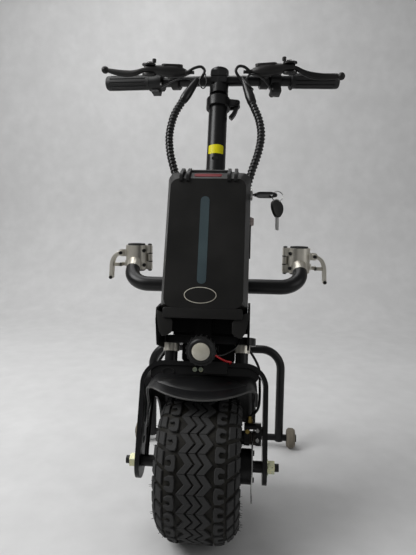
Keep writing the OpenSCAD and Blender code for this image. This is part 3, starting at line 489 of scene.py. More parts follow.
@dataclass
class Studio:
    """Pale paper sweep, soft lamps and a camera at the photograph's place."""

    image_h: int = 555
    focal_px: float = 480.0
    sensor_h: float = 24.0
    camera_at: Point = (77.0, -802.0, 566.0)
    yaw_deg: float = -5.0
    pitch_deg: float = 7.4
    roll_deg: float = 0.8
    paper: str = "#c9c9c9"
    paper_pale: str = "#d3d3d3"
    paper_half: float = 3000.0
    paper_front: float = -3000.0
    paper_back: float = 1500.0
    paper_bend: float = 700.0
    paper_top: float = 3400.0
    bend_steps: int = 10
    sky: str = "#e6e6e6"
    sky_strength: float = 0.27

    def camera(self) -> None:
        """Sets the camera from its fitted place and turn."""
        yaw, pitch, roll = map(math.radians, (self.yaw_deg, self.pitch_deg, self.roll_deg))
        ahead = Vector((math.sin(yaw) * math.cos(pitch), math.cos(yaw) * math.cos(pitch),
                        -math.sin(pitch)))
        flat = Vector((math.cos(yaw), -math.sin(yaw), 0))
        rise = flat.cross(ahead)
        right = flat * math.cos(roll) + rise * math.sin(roll)
        up = right.cross(ahead)
        data = bpy.data.cameras.new("photo_camera")
        data.sensor_fit = "VERTICAL"
        data.sensor_height = self.sensor_h
        data.lens = self.focal_px * self.sensor_h / self.image_h
        data.clip_start = 0.01
        obj = bpy.data.objects.new("photo_camera", data)
        turn = Matrix((right, up, -ahead)).transposed().to_4x4()
        obj.matrix_world = Matrix.Translation(Vector(self.camera_at) * MM) @ turn
        bpy.context.scene.collection.objects.link(obj)
        bpy.context.scene.camera = obj

    def backdrop(self) -> None:
        """Makes one paper sheet that lies flat and curves up behind."""
        half, front, back, bend, top = (size * MM for size in (
            self.paper_half, self.paper_front, self.paper_back, self.paper_bend, self.paper_top))
        turns = [QUARTER * i / self.bend_steps for i in range(1, self.bend_steps + 1)]
        line = [(front, 0.0), (0.0, 0.0), (back, 0.0)]
        line += [(back + bend * math.sin(a), bend - bend * math.cos(a)) for a in turns]
        line.append((back + bend, top))
        mesh = bmesh.new()
        edge = [mesh.verts.new((-half, y, z)) for y, z in line]
        strip = [mesh.edges.new(pair) for pair in zip(edge, edge[1:])]
        grown = bmesh.ops.extrude_edge_only(mesh, edges=strip)["geom"]
        moved = [v for v in grown if isinstance(v, bmesh.types.BMVert)]
        bmesh.ops.translate(mesh, vec=(2 * half, 0, 0), verts=moved)
        bmesh.ops.recalc_face_normals(mesh, faces=mesh.faces)
        data = bpy.data.meshes.new("paper_sweep")
        mesh.to_mesh(data)
        mesh.free()
        data.shade_smooth()
        # Matt paper: plain grey with broad, faint clouds
        paper = Finish("backdrop_paper", self.paper, self.paper_pale, 0.85, 220.0, Pattern.DUSTY,
                       bump=0.04)
        data.materials.append(paper.material())
        sheet = bpy.data.objects.new("paper_sweep", data)
        bpy.context.scene.collection.objects.link(sheet)

    def lamp(self, name: str, place: Point, aim: Point, size: float, power: float) -> None:
        """Adds one soft lamp.

        Args:
            name: Name of the lamp.
            place: Where it hangs, in metres.
            aim: What it points at, in metres.
            size: Side of its square, in metres.
            power: Power in watts.
        """
        data = bpy.data.lights.new(name, "AREA")
        data.size = size
        data.energy = power
        obj = bpy.data.objects.new(name, data)
        obj.location = place
        obj.rotation_euler = (Vector(aim) - Vector(place)).to_track_quat("-Z", "Y").to_euler()
        bpy.context.scene.collection.objects.link(obj)

    def light(self) -> None:
        """Sets an even world and three soft lamps."""
        world = bpy.data.worlds.new("room")
        world.use_nodes = True
        sky = world.node_tree.nodes["Background"]
        sky.inputs["Color"].default_value = linear(self.sky)
        sky.inputs["Strength"].default_value = self.sky_strength
        bpy.context.scene.world = world
        middle = (0.0, 0.1, 0.45)
        self.lamp("key_softbox", (-1.5, -0.4, 1.9), middle, size=1.2, power=39.0)
        self.lamp("rear_softbox", (-0.6, 0.9, 2.4), (-0.55, 0.75, 0.0), size=1.6, power=23.0)
        self.lamp("fill_softbox", (1.8, -0.6, 1.0), middle, size=1.2, power=5.0)

    def set_up(self) -> None:
        """Builds the whole stage."""
        bpy.context.scene.view_settings.view_transform = "Standard"
        self.camera()
        self.backdrop()
        self.light()


def lathe(profile: Sequence[Flat], steps: int) -> Mesh:
    """Spins a profile about +X.

    Args:
        profile: Places along X with their radii.
        steps: Steps round the axis.

    Returns:
        The spun mesh.
    """
    mesh = bmesh.new()
    verts = [mesh.verts.new((x, 0, r)) for x, r in profile]
    edges = [mesh.edges.new(pair) for pair in zip(verts, verts[1:])]
    bmesh.ops.spin(mesh, geom=verts + edges, cent=(0, 0, 0), axis=(1, 0, 0), angle=2 * math.pi,
                   steps=steps, use_merge=True)
    bmesh.ops.remove_doubles(mesh, verts=mesh.verts, dist=MERGE_MM)
    return mesh


def raise_outline(mesh: Mesh, outline: Sequence[Flat], foot: float,
                  top: float) -> list[bmesh.types.BMEdge]:
    """Raises a flat outline into a block along +Z.

    Args:
        mesh: Mesh that gets the block.
        outline: Points in X and Y.
        foot: Height of its foot.
        top: Height of its top.

    Returns:
        The edges round its top.
    """
    face = mesh.faces.new([mesh.verts.new((x, y, foot)) for x, y in outline])
    grown = bmesh.ops.extrude_face_region(mesh, geom=[face])["geom"]
    roof = [v for v in grown if isinstance(v, bmesh.types.BMVert)]
    bmesh.ops.translate(mesh, vec=(0, 0, top - foot), verts=roof)
    return [e for e in grown if isinstance(e, bmesh.types.BMEdge)]


def slab(outline: Sequence[Flat], height: float, bevel: float = 0.0) -> Mesh:
    """Makes a slab from a flat outline.

    Args:
        outline: Points in X and Y.
        height: Height of the slab.
        bevel: Width of the round at its upper edge.

    Returns:
        The slab's mesh, standing on Z = 0.
    """
    mesh = bmesh.new()
    rim = raise_outline(mesh, outline, 0.0, height)
    if bevel:
        bmesh.ops.bevel(mesh, geom=rim, offset=bevel, segments=3, profile=0.5, affect="EDGES",
                        material=-1)
    return mesh


def rounded(width: float, depth: float, corner: float, steps: int = 6) -> list[Flat]:
    """Gives a rectangle with round corners about the origin.

    Args:
        width: Its size in X.
        depth: Its size in Y.
        corner: Corner radius.
        steps: Steps of a corner.

    Returns:
        Points, counter-clockwise.
    """
    made = []
    for i, (sx, sy) in enumerate(((1, 1), (-1, 1), (-1, -1), (1, -1))):
        for k in range(steps + 1):
            turn = QUARTER * (i + k / steps)
            made.append((sx * (width / 2 - corner) + corner * math.cos(turn),
                         sy * (depth / 2 - corner) + corner * math.sin(turn)))
    return made


def oval(width: float, depth: float, steps: int = 48) -> list[Flat]:
    """Gives an ellipse about the origin.

    Args:
        width: Its size in X.
        depth: Its size in Y.
        steps: Number of points.

    Returns:
        Points, counter-clockwise.
    """
    turns = [2 * math.pi * k / steps for k in range(steps)]
    return [(width / 2 * math.cos(a), depth / 2 * math.sin(a)) for a in turns]


def disc(width: float) -> list[Flat]:
    """Returns a circle of that width about the origin."""
    return oval(width, width)


def join(whole: Mesh, part: Mesh, place: Optional[Matrix] = None) -> None:
    """Adds a part to a mesh and frees it.

    Args:
        whole: Mesh that grows.
        part: Mesh to add.
        place: Where the part goes, in the mesh's units; where it is if left out.
    """
    if place:
        bmesh.ops.transform(part, matrix=place, verts=part.verts)
    carrier = bpy.data.meshes.new("joining")
    part.to_mesh(carrier)
    part.free()
    whole.from_mesh(carrier)
    bpy.data.meshes.remove(carrier)


def swell(start: Sequence[float], end: Sequence[float], profile: Sequence[Flat],
          steps: int) -> Mesh:
    """Makes a turned swelling between two points.

    Args:
        start: Where it begins, in millimetres.
        end: Where it ends.
        profile: Shares of the length with their radii.
        steps: Steps round it.

    Returns:
        The swelling, in its place.
    """
    run = Vector(end) - Vector(start)
    turn = run.to_track_quat("X", "Z").to_matrix().to_4x4()
    mesh = lathe([(share * run.length, radius) for share, radius in profile], steps)
    bmesh.ops.transform(mesh, matrix=Matrix.Translation(start) @ turn, verts=mesh.verts)
    return mesh


def socket_screw(head_r: float, height: float) -> Mesh:
    """Makes a screw head with a socket, standing along +X.

    Args:
        head_r: Radius of the head.
        height: Height of the head.

    Returns:
        The head's mesh.
    """
    edge, key, floor = 0.5, 0.5 * head_r, 0.45 * height
    return lathe([(0, 0), (0, head_r), (height - edge, head_r), (height, head_r - edge),
                  (height, key), (floor, key), (floor, 0)], 24)


def catmull(points: Sequence[Sequence[float]], steps: int) -> list[Vector]:
    """Runs a smooth curve through a route's points.

    Args:
        points: The route's points.
        steps: Steps between two points.

    Returns:
        Points along the curve.
    """
    route = [Vector(p) for p in points]
    last = len(route) - 1
    made = []
    for i in range(last):
        a, b, c, d = route[max(i - 1, 0)], route[i], route[i + 1], route[min(i + 2, last)]
        for k in range(steps):
            t = k / steps
            made.append(0.5 * (2 * b + (c - a) * t + (2 * a - 5 * b + 4 * c - d) * t ** 2
                               + (3 * b - a - 3 * c + d) * t ** 3))
    return made + [route[-1]]


def column_route(points: Sequence[Point], steps: int) -> list[Vector]:
    """Smooths a route that is given in the steering frame.

    Args:
        points: The route's points, in millimetres.
        steps: Steps between two points.

    Returns:
        Points in metres in the model's frame.
    """
    metres = column_frame() @ Matrix.Scale(MM, 4)
    return [metres @ p for p in catmull(points, steps)]


def strip_outline(route: Sequence[Flat], half: float, steps: int = 6) -> list[Flat]:
    """Gives the outline of a bent strip.

    Args:
        route: Points of its middle line.
        half: Half its width.
        steps: Steps between two points.

    Returns:
        Points round the strip.
    """
    line = catmull(route, steps)
    left, right = [], []
    for i, here in enumerate(line):
        ahead = (line[min(i + 1, len(line) - 1)] - line[max(i - 1, 0)]).normalized()
        across = Vector((-ahead.y, ahead.x)) * half
        left.append(tuple(here + across))
        right.append(tuple(here - across))
    return right + left[::-1]


def loft(sections: Sequence[Sequence[float]], steps: int = 5, sides: int = 20) -> Mesh:
    """Skins oval sections that follow one another along +X.

    Args:
        sections: Middle point, half depth in Y and half height in Z of each section.
        steps: Steps between two sections.
        sides: Points of a section.

    Returns:
        The closed mesh.
    """
    mesh = bmesh.new()
    line = catmull(sections, steps)
    rings = []
    for x, y, z, deep, high in line:
        place = Matrix(((0, 0, 1, x), (deep, 0, 0, y), (0, high, 0, z), (0, 0, 0, 1)))
        ring = bmesh.ops.create_circle(mesh, segments=sides, radius=1, matrix=place)["verts"]
        rings.append(list({edge for vert in ring for edge in vert.link_edges}))
    for near, far in zip(rings, rings[1:]):
        bmesh.ops.bridge_loops(mesh, edges=near + far)
    bmesh.ops.holes_fill(mesh, edges=rings[0] + rings[-1])
    return mesh


@dataclass
class TreadTyre:
    """Knobbly tyre: carcass, zigzag centre ribs, hooked knobs and slanted shoulder lugs."""

    outer_r: float = 127.0
    flat_half: float = 32.0
    shoulder_r: float = 41.0
    shoulder_steps: int = 12
    around_steps: int = 120
    depth: float = 4.6
    foot: float = -1.0
    bead_r: float = 77.0
    bead_half: float = 59.9
    flange_r: float = 85.2
    zig_count: int = 26
    zig_reach: float = 6.0
    ribs: tuple[Flat, ...] = ((-21.5, -9.2), (-5.4, 5.4), (9.2, 21.5))
    rib_bevel: float = 0.7
    rib_steep: float = 0.5
    sipe: float = 0.8
    knob_count: int = 26
    knob_mid: float = 37.0
    knob_bevel: float = 0.9
    knob_half: tuple[Flat, ...] = ((-6.5, -7.0), (-4.5, -12.2), (4.5, -12.2), (10.5, -8.4),
                                   (10.0, -4.2), (1.6, -4.4), (-0.8, 0.0))
    lug_spans: tuple[Flat, ...] = ((53.0, 66.5), (69.5, 84.0))
    lug_half: float = 11.2
    lug_slant: float = 0.52
    lug_bevel: float = 1.0
    lug_drop: float = 0.8
    hair_count: int = 110
    hair_seed: int = 5
    hair_across: Flat = (58.0, 90.0)
    hair_length: Flat = (3.5, 6.0)
    hair_r: Flat = (0.55, 0.25)
    hair_rise: float = 1.2

    def wrap(self, co: Vector) -> Vector:
        """Wraps a flat tread point round the tyre.

        Args:
            co: Distance from the middle, distance round the tyre and height over the carcass.

        Returns:
            The point in the wheel's frame, with X along the axle.
        """
        across, around, height = co
        over = max(0.0, abs(across) - self.flat_half) / self.shoulder_r
        reach = self.shoulder_r - self.depth + height
        x = math.copysign(min(abs(across), self.flat_half) + reach * math.sin(over), across)
        r = self.outer_r - self.shoulder_r + reach * math.cos(over)
        turn = around / self.outer_r
        return Vector((x, -r * math.cos(turn), r * math.sin(turn)))

    def block(self, mesh: Mesh, outline: Sequence[Flat], top: float, bevel: float,
              steep: float = -1.0) -> None:
        """Adds one raised tread block.

        Args:
            mesh: Mesh that gets the block.
            outline: Its outline across and around the tread.
            top: Height over the carcass.
            bevel: Width of its edge round.
            steep: Edges that run less steeply round the tyre than this stay sharp.
        """
        rim = []
        for edge in raise_outline(mesh, outline, self.foot, top):
            run = edge.verts[1].co - edge.verts[0].co
            if abs(run.y) > steep * abs(run.x):
                rim.append(edge)
        bmesh.ops.bevel(mesh, geom=rim, offset=bevel, segments=1, profile=0.5, affect="EDGES",
                        material=-1)

    def tread(self) -> Mesh:
        """Makes the tread.

        Returns:
            The wrapped tread blocks.
        """
        mesh = bmesh.new()
        loop = 2 * math.pi * self.outer_r
        step = loop / self.zig_count / 2
        for i in range(2 * self.zig_count):
            low = -self.zig_reach if i % 2 else self.zig_reach
            y0, y1 = i * step + (self.sipe if i % 2 else 0.0), (i + 1) * step
            for left, right in self.ribs:
                outline = [(left + low, y0), (right + low, y0), (right - low, y1), (left - low, y1)]
                self.block(mesh, outline, self.depth, self.rib_bevel, self.rib_steep)
        pitch = loop / self.knob_count
        for side, _ in SIDES:
            for i in range(self.knob_count):
                mid = (i + (0.5 if side > 0 else 0.0)) * pitch
                self.block(mesh, self.hook(side, mid), self.depth, self.knob_bevel)
                for span in self.lug_spans:
                    self.block(mesh, self.lug(side, mid + pitch / 2, span),
                               self.depth - self.lug_drop, self.lug_bevel)
        self.hairs(mesh, loop)
        for vert in mesh.verts:
            vert.co = self.wrap(vert.co)
        return mesh

    def hairs(self, mesh: Mesh, loop: float) -> None:
        """Adds the thin moulding hairs of a new tyre.

        Args:
            mesh: Flat tread that gets them.
            loop: Length once round the tyre.
        """
        pick = random.Random(self.hair_seed)
        wide, thin = self.hair_r
        for i in range(self.hair_count):
            across = pick.choice((-1, 1)) * pick.uniform(*self.hair_across)
            around = loop * (i + pick.random()) / self.hair_count
            spot = Matrix.Translation((across, around, self.depth + self.hair_rise))
            bmesh.ops.create_cone(mesh, segments=5, radius1=wide, radius2=thin,
                                  depth=pick.uniform(*self.hair_length), matrix=spot)

    def hook(self, side: int, mid: float) -> list[Flat]:
        """Gives a hooked knob's outline.

        Args:
            side: -1 for the left row, 1 for the right.
            mid: Its place round the tyre.

        Returns:
            Points across and around the tread.
        """
        shape = list(self.knob_half) + [(x, -y) for x, y in reversed(self.knob_half[:-1])]
        return [(side * (self.knob_mid + x), mid + y) for x, y in shape]

    def lug(self, side: int, mid: float, span: Flat) -> list[Flat]:
        """Gives the outline of one block of a slanted shoulder lug.

        Args:
            side: -1 for the left row, 1 for the right.
            mid: Its place round the tyre.
            span: Where the block begins and ends across the tread.

        Returns:
            Points across and around the tread.
        """
        middle = (self.lug_spans[0][0] + self.lug_spans[-1][1]) / 2
        low, high = (mid + self.lug_slant * (x - middle) for x in span)
        a, b = (side * x for x in span)
        half = self.lug_half
        return [(a, low - half), (b, high - half), (b, high + half), (a, low + half)]

    def carcass(self) -> Mesh:
        """Makes the tyre's body.

        Returns:
            The body, spun about the axle.
        """
        mesh = bmesh.new()
        edge = self.flat_half + self.shoulder_r * QUARTER
        line = []
        for i in range(self.shoulder_steps + 1):
            point = self.wrap(Vector((edge * i / self.shoulder_steps, 0, 0)))
            line.append((point.x, -point.y))
        line += [(self.bead_half, self.flange_r), (self.bead_half, self.bead_r)]
        whole = [(-x, r) for x, r in reversed(line[1:])] + line
        verts = [mesh.verts.new((x, 0, r)) for x, r in whole]
        edges = [mesh.edges.new(pair) for pair in zip(verts, verts[1:] + verts[:1])]
        bmesh.ops.spin(mesh, geom=verts + edges, cent=(0, 0, 0), axis=(1, 0, 0),
                       angle=2 * math.pi, steps=self.around_steps, use_merge=True)
        return mesh

    def build(self, bench: Workbench) -> None:
        """Makes the carcass and its tread, which stand for the plain tyre.

        Args:
            bench: Makes the pieces.
        """
        low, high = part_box("tyre")
        place = Matrix.Translation((low + high) / 2)
        bench.piece("tyre_carcass", self.carcass(), "wheel", TYRE_SIDE, place, "tyre_rubber",
                    ["tyre"])
        bench.piece("tyre_tread", self.tread(), "wheel", TYRE_RUBBER, place, "tyre_rubber")


@dataclass
class ControlCables:
    """Spiral wrapped sleeves between the handlebar and the tray, with their taped tops.

    A route's third number is the share of the sleeve's rise over the gland.
    """

    gland_z: float = 462.3
    sleeve_rise: float = 301.76
    route_steps: int = 12
    core_r: float = 6.2
    core_skin: float = 0.4
    wire_r: float = 2.5
    turn_mm: float = 8.0
    turn_points: int = 10
    bare_share: float = 0.17
    bar_share: float = 0.3
    boot_span: Flat = (0.02, 0.22)
    boot: tuple[Flat, ...] = ((0, 0), (0, 6.4), (0.3, 8.4), (0.7, 10.0), (0.95, 9.2), (1, 7.6),
                              (1, 0))
    right: tuple[Point, ...] = (
        (54, -26, 1), (62, -29, 0.9), (75, -33, 0.78), (88, -37, 0.66), (93, -40, 0.54),
        (88, -43, 0.41), (76, -44, 0.27), (66, -44, 0.14), (62, -44, 0.06), (62, -44, 0))
    left: tuple[Point, ...] = (
        (46, -26, 1), (57, -29, 0.91), (74, -33, 0.81), (89, -37, 0.69), (95, -40, 0.54),
        (90, -43, 0.4), (78, -44, 0.26), (67, -44, 0.14), (62, -44, 0.06), (62, -44, 0))

    def route(self, side: int) -> list[Vector]:
        """Gives a sleeve's middle line in the steering frame.

        Args:
            side: -1 for the left sleeve, 1 for the right.

        Returns:
            Points from the handlebar down to the gland, in millimetres.
        """
        shares = self.left if side < 0 else self.right
        points = [(side * x, y, self.gland_z + z * self.sleeve_rise) for x, y, z in shares]
        return catmull(points, self.route_steps)

    def helix(self, line: Sequence[Vector]) -> list[Vector]:
        """Winds a wire round a line, whose upper end stays bare.

        Args:
            line: Middle line in millimetres.

        Returns:
            Points of the wire.
        """
        first = int(self.bare_share * len(line))
        wound, run = [], 0.0
        for here, after in zip(line[first:], line[first + 1:]):
            ahead = after - here
            across = ahead.cross(Vector((0, 1, 0))).normalized()
            other = ahead.normalized().cross(across)
            parts = max(2, round(ahead.length / self.turn_mm * self.turn_points))
            for k in range(parts):
                angle = 2 * math.pi * (run + ahead.length * k / parts) / self.turn_mm
                wound.append(here + ahead * k / parts
                             + self.core_r * (across * math.cos(angle) + other * math.sin(angle)))
            run += ahead.length
        return wound

    def build(self, bench: Workbench) -> None:
        """Makes both sleeves, which run between the tray and the bar, and their tops.

        Args:
            bench: Makes the pieces.
        """
        column = column_frame()
        metres = column @ Matrix.Scale(MM, 4)
        for side, word in SIDES:
            line = self.route(side)
            core = bench.tube(f"cable_bundle_{word}", [metres @ p for p in line[::3] + line[-1:]],
                              self.core_r + self.core_skin, "", WRAP, "sleeve",
                              ["cable_sleeves"] if side < 0 else [])
            wire = bench.tube(f"spiral_wrap_{word}", [metres @ p for p in self.helix(line)],
                              self.wire_r, "", WRAP, "sleeve", sides=1, smooth_steps=1)
            top, foot = (line[int(share * len(line))] for share in self.boot_span)
            bench.piece(f"cable_boot_{word}", swell(top, foot, self.boot, 32), "bar", WRAP, column)
            low, high = metres @ line[-1], metres @ line[int(self.bar_share * len(line))]
            for piece in (core, wire):
                tuple(low)
                tuple(high)
                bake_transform(piece)


@dataclass
class WheelCables:
    """Motor cable and brake hose behind the fork."""

    motor_r: float = 4.0
    hose_r: float = 2.5
    motor: tuple[Point, ...] = (
        (-100, -28.2, -0.2), (-100, -28.2, 20), (-101, -14, 76), (-101, 6, 125.2),
        (-98, 15, 165.2), (-80, 16, 196.2), (-58, 6, 226.2), (-42, -10, 246.2),
        (-40, -18, 248.2), (-40, -26, 248.2))
    hose: tuple[Point, ...] = (
        (84, -28.2, 63.8), (84, -28.2, 72.7), (99, -22, 91.7), (101, 4, 135.2), (98, 15, 165.2),
        (80, 16, 196.2), (58, 6, 226.2), (42, -10, 246.2), (40, -18, 248.2), (40, -26, 248.2))

    def build(self, bench: Workbench) -> None:
        """Makes both cables, which stand for the plain ones."""
        bench.tube("motor_cable", column_route(self.motor, 4), self.motor_r, "steering", WRAP,
                   "sleeve", ["wheel_cables"])
        bench.tube("brake_hose", column_route(self.hose, 4), self.hose_r, "steering", WRAP,
                   "sleeve")


@dataclass
class Grips:
    """Rubber grips with an end flange, lengthwise grooves and a domed end.

    The ends' profiles are measured from the grip's inner and outer end.
    """

    start: float = 107.0
    length: float = 106.0
    around_steps: int = 72
    bore_past: float = 0.4
    inner_end: tuple[Flat, ...] = ((0, 18.4), (0.8, 19.0), (3.2, 19.0), (4.0, 18.2), (4.4, 15.9),
                                   (10, 15.9), (11, 16.1))
    outer_end: tuple[Flat, ...] = ((-9, 16.5), (-8, 16.5), (1, 16.3), (3.2, 15.0), (4, 12.0),
                                   (4, 0))
    groove_step: int = 6
    groove_depth: float = 1.7
    groove_inset: Flat = (10.5, 8.5)
    skin_r: float = 14.0

    def shape(self) -> Mesh:
        """Makes one grip along +X.

        Returns:
            The grip's mesh.
        """
        a, b = self.start, self.start + self.length
        profile = [(b + self.bore_past, 0), (b + self.bore_past, BAR_BORE_R), (a, BAR_BORE_R)]
        profile += [(a + x, r) for x, r in self.inner_end] + [(b + x, r) for x, r in self.outer_end]
        mesh = lathe(profile, self.around_steps)
        first, last = a + self.groove_inset[0], b - self.groove_inset[1]
        for vert in mesh.verts:
            turn = math.degrees(math.atan2(vert.co.y, vert.co.z))
            radius = vert.co.yz.length
            on_skin = first < vert.co.x < last and radius > self.skin_r
            if on_skin and round(turn * self.around_steps / 360) % self.groove_step == 0:
                vert.co.yz = vert.co.yz * (1 - self.groove_depth / radius)
        return mesh

    def build(self, bench: Workbench) -> None:
        """Makes both grips, which stand for the plain ones."""
        bench.piece("grip_left", self.shape(), "throttle", GRIP_RUBBER, bar_frame(-1), "rubber",
                    ["throttle_grip"])
        bench.piece("grip_right", self.shape(), "bar", GRIP_RUBBER, bar_frame(1), "rubber",
                    ["hand_grip"])


@dataclass
class BatteryTrim:
    """Films, badge plate, latches and charge port of the battery."""

    front_y: float = -144.4
    film_t: float = 0.4
    strip_at: Flat = (-4.0, 371.0)
    badge_at: Flat = (-5.0, 273.0)
    reflector_at: Point = (-2.0, -131.5, 494.9)
    slope: Flat = (22.0, 24.0)
    latch_x: float = 42.5
    latch_pin: Point = (-10.0, -108.0, 510.0)
    cheeks_x: Flat = (-9.0, 3.0)
    cheek_t: float = 6.0
    cheek: tuple[Flat, ...] = (
        (-96, 504), (-96, 512), (-103, 515.5), (-120, 514), (-146, 494), (-149, 486), (-148, 478),
        (-143, 478), (-143, 483), (-120, 503.6))
    bar_at: Point = (0.0, -112.0, 510.5)
    cap_at: Point = (75.0, -86.0, 424.0)
    cap: tuple[Flat, ...] = ((0, 0), (0, 8.5), (3, 8.5), (4, 7.4), (6.5, 7), (7, 6), (7, 0))
    strap_at: Point = (75.0, -86.0, 386.0)

    def films(self, bench: Workbench) -> None:
        """Makes the plain strip, the plain badge and the red strip.

        Args:
            bench: Makes the pieces.
        """
        for name, outline, layers, finish, (x, z) in (
                ("front_strip", rounded(15.6, 157, 7.6), 1, TEAL_FILM, self.strip_at),
                ("badge_rim", oval(55, 28), 1, PALE_FILM, self.badge_at),
                ("badge_field", oval(52.4, 25.6), 2, CASE_ABS, self.badge_at)):
            bench.piece(name, slab(outline, layers * self.film_t), "battery", finish,
                        facing(x, self.front_y, z))
        run, fall = self.slope
        tilt = Matrix.Rotation(QUARTER - math.atan2(fall, run), 4, "X")
        bench.piece("top_reflector", slab(rounded(50, 15, 5.0), 0.8, 0.3), "battery", RED_FILM,
                    in_column(*self.reflector_at) @ tilt)

    def latches(self, bench: Workbench) -> None:
        """Makes the two cover latches on the upper edge and the bar between them.

        Args:
            bench: Makes the pieces.
        """
        for side, word in SIDES:
            whole = bmesh.new()
            mid = self.latch_x * side
            for x in self.cheeks_x:
                # The outline's X runs to the back, its Y upwards
                turn = Matrix(((0, 0, 1, mid + x), (1, 0, 0, 0), (0, 1, 0, 0), (0, 0, 0, 1)))
                join(whole, slab(self.cheek, self.cheek_t, 0.8), turn)
            x, y, z = self.latch_pin
            join(whole, lathe([(0, 0), (0, 2.6), (20, 2.6), (20, 0)], 20),
                 Matrix.Translation((mid + x, y, z)))
            bench.piece(f"cover_latch_{word}", whole, "battery", NYLON, column_frame())
        bar = lathe([(-38, 0), (-38, 4.0), (38, 4.0), (38, 0)], 24)
        bench.piece("latch_bar", bar, "battery", NYLON, in_column(*self.bar_at))

    def port(self, bench: Workbench) -> None:
        """Makes the charge port's cap with its strap.

        Args:
            bench: Makes the pieces.
        """
        bench.piece("charge_cap", lathe(self.cap, 32), "battery", PORT_RUBBER,
                    in_column(*self.cap_at))
        strap = in_column(*self.strap_at) @ Matrix.Rotation(QUARTER, 4, "Y")
        bench.piece("charge_strap", slab(rounded(66, 6, 2.9), 2.2, 0.6), "battery", NYLON, strap)

    def build(self, bench: Workbench) -> None:
        """Makes all the trim.

        Args:
            bench: Makes the pieces.
        """
        self.films(bench)
        self.latches(bench)
        self.port(bench)


# Radius of each thin cable at the handlebar and its route in the steering frame
BAR_WIRES: dict[str, tuple[float, tuple[Point, ...]]] = {
    "brake_cable_left": (3.0, (
        (-66, -32, 779), (-52, -36, 785), (-38, -36, 788), (-30, -34, 780), (-35, -30, 768),
        (-44, -27, 760), (-50, -28, 752))),
    "brake_cable_right": (3.0, (
        (66, -32, 779), (55, -36, 786), (43, -36, 788), (37, -34, 779), (43, -30, 768),
        (51, -27, 760), (56, -28, 750))),
    "throttle_wire": (1.9, (
        (-128, 2, 766), (-112, -12, 764), (-92, -23, 766), (-70, -27, 767), (-56, -27, 762),
        (-50, -27, 755))),
    "switch_wire": (1.9, (
        (108, -2, 764), (96, -18, 768), (80, -29, 772), (66, -32, 770), (59, -30, 760),
        (58, -28, 750))),
    "spare_loop": (1.3, (
        (-34, -33, 772), (-39, -38, 752), (-35, -40, 737), (-28, -39, 735), (-24, -38, 748),
        (-28, -34, 772))),
    "plug_loop": (1.5, (
        (50, -30, 765), (58, -36, 750), (68, -38, 738), (74, -37, 732), (70, -37, 729),
        (62, -36, 736))),
}


@dataclass
class BarTrim:
    """Band of the column, a black mark as painted shade of its slot, lever bolts and the thin
    cables at the handlebar.
    """

    band_at: Point = (0.0, 0.0, 606.0)
    band_r: float = 20.25
    band_deg: float = 50.0
    band_half_h: float = 10.0
    band_corner: float = 0.2
    corner_cut: float = 0.16
    slot_at: Point = (-1.0, -19.2, 585.0)
    bolt_rise: float = 12.0
    clamp_bolt: Point = (47.0, -30.0, 20.0)
    stop_at: Point = (80.0, -50.0, 30.6)
    stop: tuple[Flat, ...] = ((0, 0), (0, 4.2), (7, 4.2), (8, 3), (8, 0))
    barrel_at: Point = (8.0, -27.0, 13.0)
    barrel: tuple[Flat, ...] = ((-10, 0), (-10, 3.6), (0, 3.6), (2, 5), (8, 5), (9, 4), (9, 0))
    housing_x: float = 79.0
    housing_screw: float = 12.5

    def band(self) -> Mesh:
        """Makes the plain yellow band.

        Returns:
            The band, bent round the column's front, with cut corners.
        """
        mesh = bmesh.new()
        bmesh.ops.create_grid(mesh, x_segments=20, y_segments=4, size=1)
        for vert in mesh.verts:
            corner = max(0.0, abs(vert.co.x) - 1 + self.band_corner) / self.band_corner
            turn = math.radians(self.band_deg * vert.co.x)
            height = self.band_half_h * vert.co.y * (1 - self.corner_cut * corner ** 2)
            vert.co = (self.band_r * math.sin(turn), -self.band_r * math.cos(turn), height)
        return mesh

    def lever_fittings(self, bench: Workbench) -> None:
        """Makes the bolts and adjusters of both brake levers.

        Args:
            bench: Makes the pieces.
        """
        x, y, z = LEVER_PIVOT
        for side, word in SIDES:
            bolts, knob = bmesh.new(), bmesh.new()
            join(bolts, socket_screw(5.2, 4.0), upright(x, y, z + self.bolt_rise))
            join(bolts, socket_screw(3.4, 3.0), upright(*self.clamp_bolt))
            bench.piece(f"lever_bolts_{word}", bolts, "bar", STEEL, lever_frame(side))
            join(knob, lathe(self.stop, 14), upright(*self.stop_at))
            join(knob, lathe(self.barrel, 16), Matrix.Translation(self.barrel_at))
            bench.piece(f"lever_adjuster_{word}", knob, "bar", OXIDE, lever_frame(side))

    def build(self, bench: Workbench) -> None:
        """Makes all the trim.

        Args:
            bench: Makes the pieces.
        """
        bench.piece("column_band", self.band(), "steering", YELLOW_FILM, in_column(*self.band_at))
        # Painted shade: a black film on the column stands for the shade inside its recessed slot
        bench.piece("column_slot_painted_shade", slab(rounded(13, 5.5, 1.2), 1.0), "steering", WRAP,
                    facing(*self.slot_at))
        for name, (radius, route) in BAR_WIRES.items():
            bench.tube(name, column_route(route, 3), radius, "bar", WRAP)
        self.lever_fittings(bench)
        screws = bmesh.new()
        for way in (-1, 1):
            spot = (self.housing_x, way * self.housing_screw, way * self.housing_screw)
            join(screws, socket_screw(3.2, 3.0),
                 Matrix.Translation(spot) @ Matrix.Rotation(math.pi, 4, "Z"))
        bench.piece("throttle_screws", screws, "bar", STEEL, bar_frame(-1))


